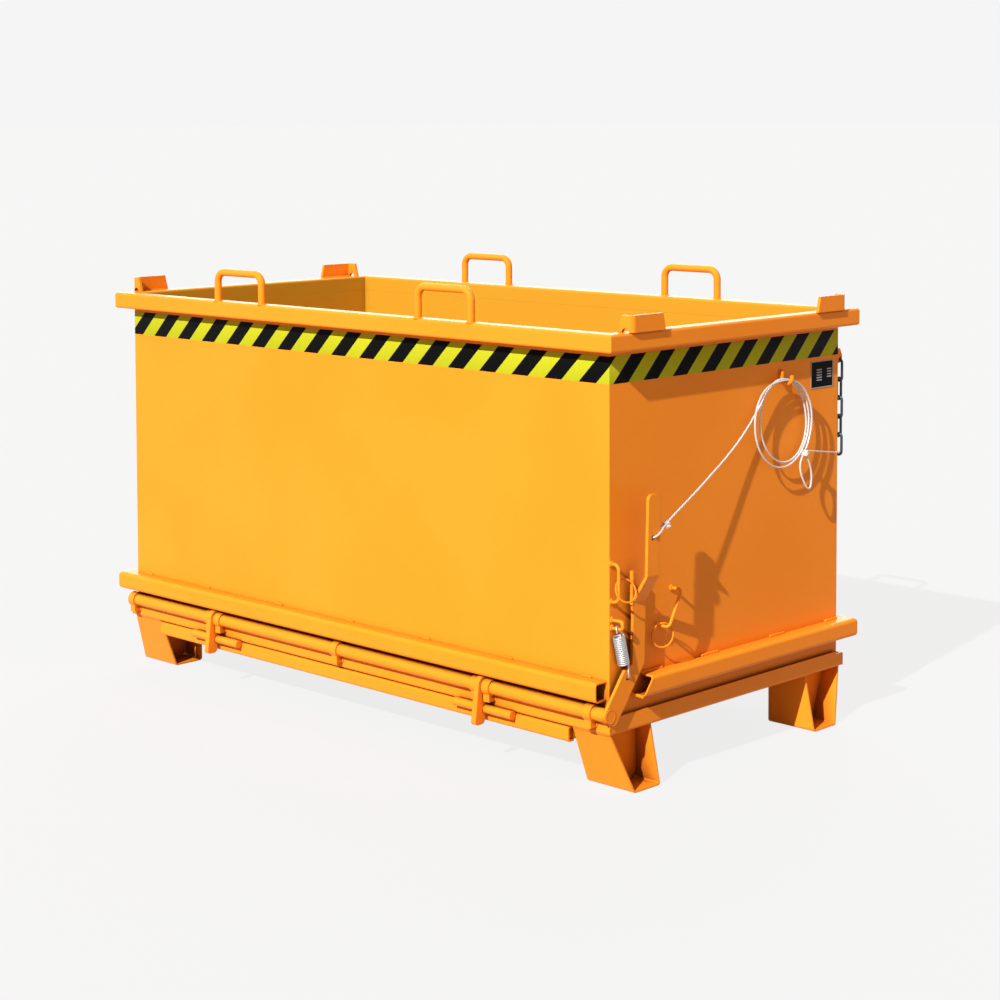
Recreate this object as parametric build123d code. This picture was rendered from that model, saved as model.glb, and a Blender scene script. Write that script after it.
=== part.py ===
from build123d import *
import os
from math import cos, hypot, pi, radians, sin, sqrt, tan

os.makedirs("parts", exist_ok=True)

# All sizes are in millimetres. X runs to the lever end, -Y is the latch side,
# Z is up, and the origin lies on the ground in the middle of the four feet.

# Body
BODY_LENGTH, BODY_WIDTH = 1840.0, 920.0     # over the outer wall faces
WALL_X, WALL_Y, WALL_T = BODY_LENGTH / 2, BODY_WIDTH / 2, 4.0
FRAME_OUT, FRAME_IN, FRAME_T = 12.0, 48.0, 6.0
FRAME_LOW, FRAME_H = 144.0, 36.0
FRAME_END_RISE, FRAME_END_BACK = 7.0, 15.0  # taller edge of the end angles, clear of the corners
FRAME_TOP = FRAME_LOW + FRAME_H
WALL_LOW, WALL_TOP = FRAME_LOW + FRAME_T, 1055.0
RIM_OUT, RIM_IN, RIM_H = 40.0, WALL_T, 45.0   # rim tube, out from the wall face and flush inside
RIM_TOP, RIM_T, RIM_R = WALL_TOP + RIM_H, 4.0, 7.0
LOW_RIM_OUT, LOW_RIM_H, LOW_RIM_T, LOW_RIM_BEND = 40.0, 48.0, 4.0, 6.0
LOW_RIM_Z0 = FRAME_TOP + 44.0
LOW_RIM_Z1 = LOW_RIM_Z0 + LOW_RIM_H
LOW_RIM_FRONT_END = WALL_X - 9.0   # square end of the front channel
MITRE_REACH = 2.5 * RIM_OUT

# Feet and floor
FLAP_X = 800.0
LEDGE_X = FLAP_X - 10.0            # inner edge of the fixed floor strips
FOOT_T, FOOT_LEAN, FOOT_DEPTH = 5.0, 55.0, 152.0
FOOT_Y_TOP = WALL_Y + 5.0
FOOT_Y_LOW, FOOT_Y_IN = FOOT_Y_TOP - FOOT_LEAN, FOOT_Y_TOP - FOOT_DEPTH
FOOT_X_IN, FOOT_X_TOP, FOOT_X_LOW = FLAP_X + 8.0, WALL_X + 5.0, WALL_X + 35.0
FOOT_WEB_X, FOOT_WEB_CUT = WALL_X - 44.0, 16.0

# Crane loops and stacking lugs
LOOP_X, LOOP_Y, LOOP_D = 400.0, WALL_Y + RIM_OUT - 11.0, 20.0
LOOP_HALF, LOOP_RISE, LOOP_BEND = 94.0, 81.0, 28.0
LUG_X, LUG_Y, LUG_T, LUG_H = WALL_X + RIM_OUT + 6.0, WALL_Y - 26.0, 8.0, 41.0
LUG_LONG_LOW, LUG_LONG_TOP = 126.0, 116.0
LUG_SHORT_LOW, LUG_SHORT_TOP = 44.0, 32.0
LUG_NOTCH_R, LUG_NOTCH_IN = 10.5, 20.0

# Latch shaft, hooks and bearings
SHAFT_R, SHAFT_BORE_R = 16.85, 13.65
BEARING_R, BEARING_W, BEARING_PLAY = 21.2, 24.0, 0.08
BEARING_FOOT_W, BEARING_FOOT_OUT, BEARING_FOOT_LOW, BEARING_FOOT_TOP = 20.0, 14.0, 35.0, 8.0
SHAFT_Y, SHAFT_Z = -(WALL_Y + BEARING_R), FRAME_TOP + 16.0
HOOK_X, HOOK_T = 527.0, 16.0
HOOK_DROP, HOOK_REACH, HOOK_LEAN, HOOK_TIP_IN = 93.0, 26.8, 12.5, 3.0
HOOK_HUB_R, HOOK_TOP_R, HOOK_TOP_DY, HOOK_TOP_DZ, HOOK_ROOM = 18.1, 19.0, -7.8, 6.5, 2.0
HOOK_FRONT, HOOK_BACK, HOOK_LOW = SHAFT_Y - HOOK_REACH, SHAFT_Y + 3.2, SHAFT_Z - HOOK_DROP
HOOK_SIDE = 1.0                    # gap between a hook and the bearings beside it
BEARING_BY_HOOK = (HOOK_T + BEARING_W) / 2 + HOOK_SIDE
BEARING_XS = (-WALL_X + 18.0, -HOOK_X - BEARING_BY_HOOK, -HOOK_X + BEARING_BY_HOOK, -15.0,
              HOOK_X - BEARING_BY_HOOK, HOOK_X + BEARING_BY_HOOK, WALL_X - 38.0)

# Flap
FLAP_TOP, FLAP_T = FRAME_LOW - 2.0, 5.0
FLAP_FRONT, FLAP_BACK = -(WALL_Y + FRAME_OUT), WALL_Y - 8.0
FLAP_LIP, FLAP_RETURN = 37.0, 20.0
BAR_D, BAR_LEN = 22.0, 200.0
BAR_Y, BAR_Z = FLAP_FRONT - BAR_D / 2, FLAP_TOP - 2.5
HINGE_PIN_R, HINGE_EYE_R = 8.0, 16.0
HINGE_Y, HINGE_Z = WALL_Y + FRAME_OUT + HINGE_EYE_R + 2.0, FRAME_LOW - HINGE_EYE_R
HINGE_XS = (-600.0, 0.0, 600.0)
HINGE_PLAY, HINGE_SIDE = 0.06, 0.5
HINGE_BASE_T, HINGE_BASE_HALF, HINGE_EAR_T, HINGE_INSET = 6.0, 45.0, 10.0, 2.0
RIB_T, RIB_H, RIB_FRONT_H, RIB_TAPER = 10.0, 40.0, 18.0, 25.0

# Release lever
LEVER_X, LEVER_T = WALL_X + FRAME_OUT + 1.5, 8.0
CRANK_ANGLE = radians(38.0)
CRANK_LEFT, CRANK_RIGHT = -20.0, 31.5
CRANK_HEEL, CRANK_REACH = -15.0, 112.0
CRANK_CUT = 63.0                   # channel end, square to the crank
LEVER_Y0, LEVER_W = SHAFT_Y + 80.2, 44.0
LEVER_Y1 = LEVER_Y0 + LEVER_W
LEVER_RISE, STRIP_RISE, KINK_RISE, KINK_LONG = 520.0, 108.0, 259.0, 64.0
LEVER_LOW, LEVER_TOP = SHAFT_Z + STRIP_RISE, SHAFT_Z + LEVER_RISE
LEVER_KINK_LOW, LEVER_KINK_TOP = SHAFT_Z + KINK_RISE, SHAFT_Z + KINK_RISE + KINK_LONG
LEVER_JOG, LEVER_TIP_R, LEVER_LEAN = 40.0, 14.0, 1.75
SHAFT_X0, SHAFT_X1, SHAFT_PLUG = -WALL_X, LEVER_X + LEVER_T + 0.5, 10.0
ROPE_HOLE_IN, ROPE_HOLE_RISE = 28.0, 415.0
ROPE_HOLE = (LEVER_Y0 + ROPE_HOLE_IN, SHAFT_Z + ROPE_HOLE_RISE)
SPRING_HOLE = (SHAFT_Y + 62.2, SHAFT_Z + 80.0)
ROPE_HOLE_R, SPRING_HOLE_R = 6.5, 5.0
LEVER_PIN_R, LEVER_PIN_LEN = 5.5, 81.0
LEVER_PIN_Y, LEVER_PIN_Z0 = LEVER_Y0 - LEVER_PIN_R + 1.0, LEVER_KINK_LOW - 5.0

# Fittings on the end wall
FITTING_D = 8.0
HOOP_X, HOOP_Y, HOOP_H, HOOP_BEND = WALL_X + 24.0, LEVER_Y0 - 53.0, 90.0, 14.0
HOOP_Z0 = LEVER_KINK_LOW + 8.0
STAPLE_X, STAPLE_Y, STAPLE_H, STAPLE_BEND = WALL_X + 34.0, LEVER_Y0 - 51.0, 19.0, 7.0
STAPLE_Z0 = LEVER_KINK_LOW - 55.0
RING_WIRE = 4.5
LOCK_RING_R, LOCK_RING_N = 28.2, (1.0, -0.218, 0.447)
LOCK_RING_C = (HOOP_X + 4.5, HOOP_Y + 20.2, HOOP_Z0 + 27.0)
HOLD_RING_R, HOLD_RING_N = 29.5, (0.94, -0.34, 0.0)
RING_HOOK_Y, RING_HOOK_Z, RING_HOOK_BEND = -232.0, LEVER_KINK_LOW + 7.0, 11.0
RING_HOOK = ((WALL_X, RING_HOOK_Y, RING_HOOK_Z), (WALL_X + 33, RING_HOOK_Y, RING_HOOK_Z),
             (WALL_X + 33, RING_HOOK_Y - 47, RING_HOOK_Z - 86), (WALL_X + 6, RING_HOOK_Y - 56, RING_HOOK_Z - 80))
HOLD_RING_OUT, HOLD_RING_SIDE, HOLD_RING_DROP = 18.0, 53.0, 105.3
HOLD_RING_C = (WALL_X + HOLD_RING_OUT, RING_HOOK_Y - HOLD_RING_SIDE, RING_HOOK_Z - HOLD_RING_DROP)

# Return spring
SPRING_R, SPRING_WIRE, SPRING_HOOK_R = 13.0, 4.0, 9.0
SPRING_LOW, SPRING_TOP, SPRING_TURNS = 35.0, 108.0, 15
SPRING_LEAD = radians(70.0)        # turn between a hook's leg and the first coil
SPRING_TWIST = radians(120.0)      # turn between the two hooks
SPRING_X = LEVER_X + LEVER_T / 2
SPRING_SEAT = 0.3

# Rope, its hook, eye and clip
ROPE_D = 5.0
ROPE_SIDE = 2.8                    # half the distance between paired strands
ROPE_HOOK_Y, ROPE_HOOK_D = 206.0, 11.0
ROPE_HOOK_X0, ROPE_HOOK_W, ROPE_HOOK_BEND = WALL_X + ROPE_HOOK_D / 2, 32.0, 15.0
ROPE_HOOK_DROP, ROPE_HOOK_RISE, ROPE_HOOK_TIP = 130.5, 30.5, 21.5
ROPE_HOOK_LOW = WALL_TOP - ROPE_HOOK_DROP
COIL_START = (WALL_X + 15.0, 20.0, ROPE_HOOK_LOW - 128.5)
COIL_TOP, COIL_X0, COIL_ADVANCE = ROPE_HOOK_LOW + 12.0, WALL_X + 14.6, 5.8
COIL_PHI0, COIL_PHI1 = 140.0, -748.0
COIL_Y, COIL_SWING, COIL_LEAN = ROPE_HOOK_Y, 10.0, 14.8
COIL_A, COIL_A_GROW, COIL_B, COIL_B_GROW = 87.6, 14.7, 104.0, 5.3
# End eye: X past the coil's last point, Y, Z and direction of the rope
EYE_ROUTE = ((0.4, 264.5, 728.0, (0, -0.5, -0.87)), (1.2, 257.0, 694.0, (0, 0.1, -1)),
             (2.5, 286.0, 646.0, (0, 1, 0)), (4.5, 302.0, 676.0, (0, -0.2, 1)),
             (6.3, 276.5, 727.5, (0, -0.45, 0.89)), (6.3, 270.5, 740.0, (0, -0.45, 0.89)))
FERRULE_LEN, FERRULE_SHELL, FERRULE_SIDE, FERRULE_Y, FERRULE_Z = 15.0, 1.4, 3.15, 270.2, 738.0
ROPE_TURN, ROPE_TURN_BEND, ROPE_EASE = 8.0, 7.2, 30.0
TURN_AT, EDGE_AT, NARROW_AT = 2.0, 32.0, 52.0
CLIP_AT, CLIP_LEN = 60.0, 13.0
CLIP_BOLT_R, CLIP_NUT_R, CLIP_NUT_H, CLIP_SADDLE_T, CLIP_TAIL = 2.0, 4.2, 3.5, 4.0, 10.0
LIVE_END, TAIL_END = 70.0, 78.0

# Chain on the back edge and the cord tied to it
EAR_X, EAR_T, EAR_Y, EAR_Z = WALL_X - 8.0, 6.0, WALL_Y + 17.0, WALL_TOP - 91.0
EAR_HOLE_R, EAR_DOWN, EAR_UP, EAR_TIP = 5.5, 12.0, 28.0, 9.5
LINK_WIRE, LINK_INNER, LINK_WIDTH, LINK_COUNT = 7.0, 50.0, 12.0, 5
LINK_PLAY, LINK_SEAT = 0.6, 0.8
TIE_D, TIE_SEAT, TIE_BEND, TIE_LIFT = 4.0, 0.4, 60.0, 6.5
TIE_ROUTE = ((WALL_X + 24.0, 366.0, 733.0), (WALL_X + 12.0, 432.0, 725.0))


def save(node, *solids):
    """Write one node, made of one or more solids, to its STEP file."""
    shape = solids[0] if len(solids) == 1 else Compound(children=list(solids))
    shape.label = node
    export_step(shape, f"parts/{node}.step")


def block(x0, x1, y0, y1, z0, z1):
    """Box between two corners."""
    return Pos((x0 + x1) / 2, (y0 + y1) / 2, (z0 + z1) / 2) * Box(x1 - x0, y1 - y0, z1 - z0)


def bar_x(x0, x1, y, z, radius):
    """Round bar along X."""
    return Pos((x0 + x1) / 2, y, z) * Rot(0, 90, 0) * Cylinder(radius, x1 - x0)


def outline(*points):
    """Flat face with straight edges."""
    return make_face(Polyline(*points, close=True))


def rounded(face, radius, *corners):
    """Face with the corners nearest to the given points rounded."""
    picked = [min(face.vertices(), key=lambda v: hypot(v.X - a, v.Y - b)) for a, b in corners]
    return fillet(picked, radius)


def bent_sheet(points, thickness, inner_radius):
    """Section of a folded sheet that lies to the left of a run of points."""
    steps = []
    for (a, b), (c, d) in zip(points, points[1:]):
        size = hypot(c - a, d - b)
        steps.append(((c - a) / size, (d - b) / size))
    normals = [(-dy, dx) for dx, dy in steps]
    inner = [(points[0][0] + normals[0][0] * thickness, points[0][1] + normals[0][1] * thickness)]
    for (px, py), n, m in zip(points[1:-1], normals, normals[1:]):
        scale = thickness / (1 + n[0] * m[0] + n[1] * m[1])
        inner.append((px + (n[0] + m[0]) * scale, py + (n[1] + m[1]) * scale))
    inner.append((points[-1][0] + normals[-1][0] * thickness, points[-1][1] + normals[-1][1] * thickness))
    face = outline(*points, *reversed(inner))
    near, far = [], []
    for i, (d, e) in enumerate(zip(steps, steps[1:]), start=1):
        left_turn = d[0] * e[1] - d[1] * e[0] > 0
        near.append(inner[i] if left_turn else points[i])
        far.append(points[i] if left_turn else inner[i])
    face = rounded(face, inner_radius, *near)
    return rounded(face, inner_radius + thickness, *far)


def along_x(face, x0, x1):
    """Extrude a (Y, Z) face along X."""
    return extrude(Plane.YZ.offset(x0) * face, amount=x1 - x0)


def along_y(face, y0, y1):
    """Extrude an (X, Z) face along Y."""
    return extrude(Plane.XZ.offset(-y1) * face, amount=y1 - y0)


def along_z(face, z0, z1):
    """Extrude an (X, Y) face along Z."""
    return extrude(Plane.XY.offset(z0) * face, amount=z1 - z0)


SIDES = {"front": (0, -1), "right": (1, 0), "back": (0, 1), "left": (-1, 0)}


def side_bar(side, section):
    """Mitred bar along one side; section is (out from the wall face, Z)."""
    ox, oy = SIDES[side]
    half = WALL_X if ox == 0 else WALL_Y
    plane = Plane(origin=(ox * WALL_X, oy * WALL_Y, 0), x_dir=(ox, oy, 0), z_dir=(oy, -ox, 0))
    bar = extrude(plane * section, amount=half + MITRE_REACH, both=True)
    plan = []
    for out, end in ((-MITRE_REACH, -1), (-MITRE_REACH, 1), (MITRE_REACH, 1), (MITRE_REACH, -1)):
        along, across = end * (half + out), (WALL_Y if ox == 0 else WALL_X) + out
        plan.append((along, oy * across) if ox == 0 else (ox * across, along))
    return bar & along_z(outline(*plan), 0, RIM_TOP + MITRE_REACH)


def rod(points, diameter, bend):
    """Bent round rod through the given points."""
    path = FilletPolyline(*points, radius=bend) if len(points) > 2 else Line(*points)
    return sweep(Plane(path @ 0, z_dir=path % 0) * Circle(diameter / 2), path=path)


def biarc(p, t, q, u):
    """Two arcs from point p along t to point q along u."""
    p, t, q, u = Vector(p), Vector(t).normalized(), Vector(q), Vector(u).normalized()
    v, slack = q - p, 2 * (1 - t.dot(u))
    if slack < 1e-9:
        reach = v.dot(v) / (4 * v.dot(u))
    else:
        push = v.dot(t + u)
        reach = (-push + sqrt(push * push + 2 * slack * v.dot(v))) / (2 * slack)
    middle = (p + q + (t - u) * reach) * 0.5
    turn = (q - u * reach) - (p + t * reach)
    return [Edge.make_tangent_arc(p, t, middle), Edge.make_tangent_arc(middle, turn, q)]


def biarc_run(points, tangents):
    """Edges of the biarcs through points with their tangents."""
    edges = []
    for p, t, q, u in zip(points, tangents, points[1:], tangents[1:]):
        edges += biarc(p, t, q, u)
    return edges


def tube(edges, diameter, sides):
    """Tube of a many-sided section along joined edges."""
    path = Wire(edges)
    start = Plane(path @ 0, z_dir=path % 0)
    return sweep(start * RegularPolygon(diameter / 2, sides), path=path)


def least_self_gap(edges, diameter, reach):
    """Least gap between parts of one tube that are more than reach apart along it."""
    places, run = [], 0.0
    for edge in edges:
        count = max(3, int(edge.length / 2))
        for i in range(count):
            places.append((run + edge.length * i / count, edge @ (i / count)))
        run += edge.length
    least = 1e9
    for i, (s, a) in enumerate(places):
        for r, b in places[i + 1:]:
            if r - s > reach:
                least = min(least, (a - b).length)
    return least - diameter


def four_ways(node, solid):
    """Save one corner piece and its three mirror images."""
    for name_x, flip_x in (("right", False), ("left", True)):
        for name_y, flip_y in (("front", False), ("back", True)):
            copy = mirror(solid, about=Plane.YZ) if flip_x else solid
            copy = mirror(copy, about=Plane.XZ) if flip_y else copy
            save(f"{node}_{name_x}_{name_y}", copy)


def walls():
    save("wall_front", block(-WALL_X, WALL_X, -WALL_Y, -WALL_Y + WALL_T, WALL_LOW, WALL_TOP))
    save("wall_back", block(-WALL_X, WALL_X, WALL_Y - WALL_T, WALL_Y, WALL_LOW, WALL_TOP))
    inside = WALL_Y - WALL_T
    save("wall_right", block(WALL_X - WALL_T, WALL_X, -inside, inside, WALL_LOW, WALL_TOP))
    save("wall_left", block(-WALL_X, -WALL_X + WALL_T, -inside, inside, WALL_LOW, WALL_TOP))


def top_rims():
    wide = RIM_OUT + RIM_IN
    middle = Pos((RIM_OUT - RIM_IN) / 2, (RIM_TOP + WALL_TOP) / 2)
    seat = Pos((RIM_R - wide) / 2, (RIM_R - RIM_H) / 2) * Rectangle(RIM_R, RIM_R)
    section = middle * (RectangleRounded(wide, RIM_H, RIM_R) + seat
                        - RectangleRounded(wide - 2 * RIM_T, RIM_H - 2 * RIM_T, RIM_R - RIM_T))
    for side in SIDES:
        save(f"rim_{side}", side_bar(side, section))


def crank_point(across, along):
    """Point (Y, Z) measured square to and along the crank from the shaft."""
    return (SHAFT_Y + across * cos(CRANK_ANGLE) + along * sin(CRANK_ANGLE),
            SHAFT_Z - across * sin(CRANK_ANGLE) + along * cos(CRANK_ANGLE))


def lower_rims():
    section = bent_sheet(((0, LOW_RIM_Z0), (LOW_RIM_OUT, LOW_RIM_Z0),
                          (LOW_RIM_OUT, LOW_RIM_Z1), (0, LOW_RIM_Z1)), LOW_RIM_T, LOW_RIM_BEND)
    far = WALL_Y
    slant = along_x(outline(crank_point(CRANK_CUT, -far), crank_point(CRANK_CUT, far),
                            crank_point(-far, far), crank_point(-far, -far)),
                    WALL_X - MITRE_REACH, WALL_X + MITRE_REACH)
    beyond = block(LOW_RIM_FRONT_END, WALL_X + MITRE_REACH, -WALL_Y - MITRE_REACH, -WALL_Y + MITRE_REACH,
                   LOW_RIM_Z0 - 1, LOW_RIM_Z1 + 1)
    cuts = {"front": beyond, "right": slant}
    for side in SIDES:
        bar = side_bar(side, section)
        save(f"lower_rim_{side}", bar - cuts[side] if side in cuts else bar)


def bottom_frames():
    section = bent_sheet(((-FRAME_IN, FRAME_LOW), (FRAME_OUT, FRAME_LOW), (FRAME_OUT, FRAME_TOP)), FRAME_T, 2.0)
    bars = {side: side_bar(side, section) for side in SIDES}
    reach, outer = WALL_Y - FRAME_END_BACK, WALL_X + FRAME_OUT
    for side, sign in (("right", 1), ("left", -1)):
        x0, x1 = sorted((sign * (outer - FRAME_T), sign * outer))
        bars[side] = bars[side] + block(x0, x1, -reach, reach, FRAME_TOP - 1, FRAME_TOP + FRAME_END_RISE)
    for side, bar in bars.items():
        save(f"frame_{side}", bar)
    inner_x, inner_y = WALL_X - FRAME_IN, WALL_Y - FRAME_IN
    for name, sign in (("right", 1), ("left", -1)):
        x0, x1 = sorted((sign * LEDGE_X, sign * inner_x))
        save(f"ledge_{name}", block(x0, x1, -inner_y, inner_y, FRAME_LOW, WALL_LOW))
    return bars["front"]


def feet():
    lean = (FOOT_Y_TOP - FOOT_Y_LOW) / FRAME_LOW
    over = FRAME_LOW + 2 * FOOT_T
    section = bent_sheet(((-FOOT_Y_LOW - lean * over, over), (-FOOT_Y_LOW, 0), (-FOOT_Y_IN, 0), (-FOOT_Y_IN, over)),
                         FOOT_T, 4.0)
    side = outline((FOOT_X_IN, 0), (FOOT_X_LOW, 0), (FOOT_X_TOP, FRAME_LOW), (FOOT_X_IN, FRAME_LOW))
    shell = along_x(section, FOOT_X_IN, FOOT_X_LOW) & along_y(side, -2 * WALL_Y, 0)
    corner = FOOT_WEB_CUT
    web_y = -FOOT_Y_IN - FOOT_T
    slope = FOOT_T * hypot(1, lean)
    web = outline((-FOOT_Y_LOW + slope - lean * corner, corner), (-FOOT_Y_LOW + slope + corner, FOOT_T),
                  (web_y - corner, FOOT_T), (web_y, FOOT_T + corner), (web_y, FRAME_LOW),
                  (-FOOT_Y_TOP + slope, FRAME_LOW))
    four_ways("foot", shell + along_x(web, FOOT_WEB_X, FOOT_WEB_X + FOOT_T))


def lugs():
    plan = bent_sheet(((LUG_X - LUG_SHORT_LOW, -LUG_Y), (LUG_X, -LUG_Y), (LUG_X, -LUG_Y + LUG_LONG_LOW)),
                      LUG_T, LUG_T)
    low, top = RIM_TOP, RIM_TOP + LUG_H
    lug = along_z(plan, low, top)
    end_low, end_top = -LUG_Y + LUG_LONG_LOW, -LUG_Y + LUG_LONG_TOP
    free = outline((end_low, low), (end_top, top), (end_low + 1, top), (end_low + 1, low))
    short = outline((LUG_X - LUG_SHORT_LOW, low), (LUG_X - LUG_SHORT_TOP, top),
                    (LUG_X - LUG_SHORT_LOW - 1, top), (LUG_X - LUG_SHORT_LOW - 1, low))
    notch = Pos(LUG_X - LUG_NOTCH_IN, -LUG_Y, low) * Rot(90, 0, 0) * Cylinder(LUG_NOTCH_R, 4 * LUG_T)
    lug = lug - along_x(free, LUG_X - 4 * LUG_T, LUG_X + 1) - along_y(short, -LUG_Y - 1, -LUG_Y + 4 * LUG_T) - notch
    four_ways("lug", lug)


def crane_loops():
    top = RIM_TOP + LOOP_RISE
    points = ((LOOP_X - LOOP_HALF, -LOOP_Y, RIM_TOP), (LOOP_X - LOOP_HALF, -LOOP_Y, top),
              (LOOP_X + LOOP_HALF, -LOOP_Y, top), (LOOP_X + LOOP_HALF, -LOOP_Y, RIM_TOP))
    four_ways("crane_loop", rod(points, LOOP_D, LOOP_BEND))


def bearings(front_frame):
    rings = []
    for x in BEARING_XS:
        half = BEARING_W / 2
        foot = block(x - BEARING_FOOT_W / 2, x + BEARING_FOOT_W / 2, SHAFT_Y - BEARING_FOOT_OUT, FLAP_FRONT,
                     SHAFT_Z - BEARING_FOOT_LOW, SHAFT_Z - BEARING_FOOT_TOP)
        ring = bar_x(x - half, x + half, SHAFT_Y, SHAFT_Z, BEARING_R) + foot
        ring = ring - bar_x(x - half - 1, x + half + 1, SHAFT_Y, SHAFT_Z, SHAFT_R + BEARING_PLAY)
        rings.append(ring - front_frame)
    save("shaft_bearings", *rings)


def latch_shaft():
    save("latch_shaft", bar_x(SHAFT_X0, SHAFT_X1, SHAFT_Y, SHAFT_Z, SHAFT_R)
         - bar_x(SHAFT_X0 - 1, SHAFT_X1 - SHAFT_PLUG, SHAFT_Y, SHAFT_Z, SHAFT_BORE_R))
    top_y, top_z = SHAFT_Y + HOOK_TOP_DY, SHAFT_Z + HOOK_TOP_DZ
    notch_r = BAR_D / 2 + HOOK_ROOM
    toe, tip = HOOK_FRONT - HOOK_LEAN, BAR_Y - HOOK_TIP_IN
    face = outline((HOOK_FRONT, top_z), (toe, HOOK_LOW), (HOOK_BACK, HOOK_LOW), (HOOK_BACK, top_z))
    face = face + Pos(SHAFT_Y, SHAFT_Z) * Circle(HOOK_HUB_R) + Pos(top_y, top_z) * Circle(HOOK_TOP_R)
    face = face - Pos(BAR_Y, BAR_Z) * Circle(notch_r)
    face = face - outline((tip, HOOK_LOW - 1), (HOOK_BACK + 1, HOOK_LOW - 1),
                          (HOOK_BACK + 1, BAR_Z + notch_r), (tip, BAR_Z + notch_r))
    face = rounded(face, 8.0, (toe, HOOK_LOW))
    face = rounded(face, 12.0, (tip, HOOK_LOW))
    face = rounded(face, 3.0, (tip, BAR_Z - notch_r))
    hook = along_x(face, -HOOK_T / 2, HOOK_T / 2) - bar_x(-HOOK_T, HOOK_T, SHAFT_Y, SHAFT_Z, SHAFT_R)
    save("hook_right", Pos(HOOK_X, 0, 0) * hook)
    save("hook_left", Pos(-HOOK_X, 0, 0) * hook)


def flap():
    section = bent_sheet(((FLAP_BACK, FLAP_TOP), (FLAP_FRONT, FLAP_TOP), (FLAP_FRONT, FLAP_TOP - FLAP_LIP),
                          (FLAP_FRONT + FLAP_RETURN, FLAP_TOP - FLAP_LIP)), FLAP_T, 2.0)
    save("flap_plate", along_x(section, -FLAP_X, FLAP_X))
    for name, sign in (("right", 1), ("left", -1)):
        middle = sign * HOOK_X
        save(f"latch_bar_{name}", bar_x(middle - BAR_LEN / 2, middle + BAR_LEN / 2, BAR_Y, BAR_Z, BAR_D / 2))
    under = FLAP_TOP - FLAP_T
    low = under - RIB_H
    front = FLAP_FRONT + FLAP_RETURN + FLAP_T
    face = outline((front, under), (front, under - RIB_FRONT_H), (front + RIB_TAPER, low), (FLAP_BACK - RIB_TAPER, low),
                   (HINGE_Y, HINGE_Z - HINGE_EYE_R), (HINGE_Y, HINGE_Z + 4), (FLAP_BACK, under))
    face = face + Pos(HINGE_Y, HINGE_Z) * Circle(HINGE_EYE_R)
    face = face - Pos(HINGE_Y, HINGE_Z) * Circle(HINGE_PIN_R + HINGE_PLAY)
    for name, x in zip(("left", "middle", "right"), HINGE_XS):
        save(f"flap_rib_{name}", along_x(face, x - RIB_T / 2, x + RIB_T / 2))


def hinges():
    back = WALL_Y + FRAME_OUT
    low, top = FRAME_LOW + HINGE_INSET, FRAME_TOP - HINGE_INSET
    face = outline((back, top), (back + HINGE_EAR_T, top), (HINGE_Y + HINGE_EYE_R, HINGE_Z),
                   (HINGE_Y - HINGE_EYE_R, HINGE_Z), (back, low))
    face = face + Pos(HINGE_Y, HINGE_Z) * Circle(HINGE_EYE_R)
    face = face - Pos(HINGE_Y, HINGE_Z) * Circle(HINGE_PIN_R)
    first = RIB_T / 2 + HINGE_SIDE
    pins = []
    for name, x in zip(("left", "middle", "right"), HINGE_XS):
        bracket = block(x - HINGE_BASE_HALF, x + HINGE_BASE_HALF, back, back + HINGE_BASE_T, low, top)
        for sign in (-1, 1):
            x0, x1 = sorted((x + sign * first, x + sign * (first + HINGE_EAR_T)))
            bracket = bracket + along_x(face, x0, x1)
        save(f"hinge_{name}", bracket)
        reach = first + HINGE_EAR_T + HINGE_PIN_R / 2
        pins.append(bar_x(x - reach, x + reach, HINGE_Y, HINGE_Z, HINGE_PIN_R))
    save("hinge_pins", *pins)


def leaned(y, z):
    """Point (Y, Z) of the lever's strip, turned with the strip."""
    turn = radians(LEVER_LEAN)
    dy, dz = y - LEVER_Y0, z - LEVER_LOW
    return (LEVER_Y0 + dy * cos(turn) + dz * sin(turn), LEVER_LOW - dy * sin(turn) + dz * cos(turn))


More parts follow.
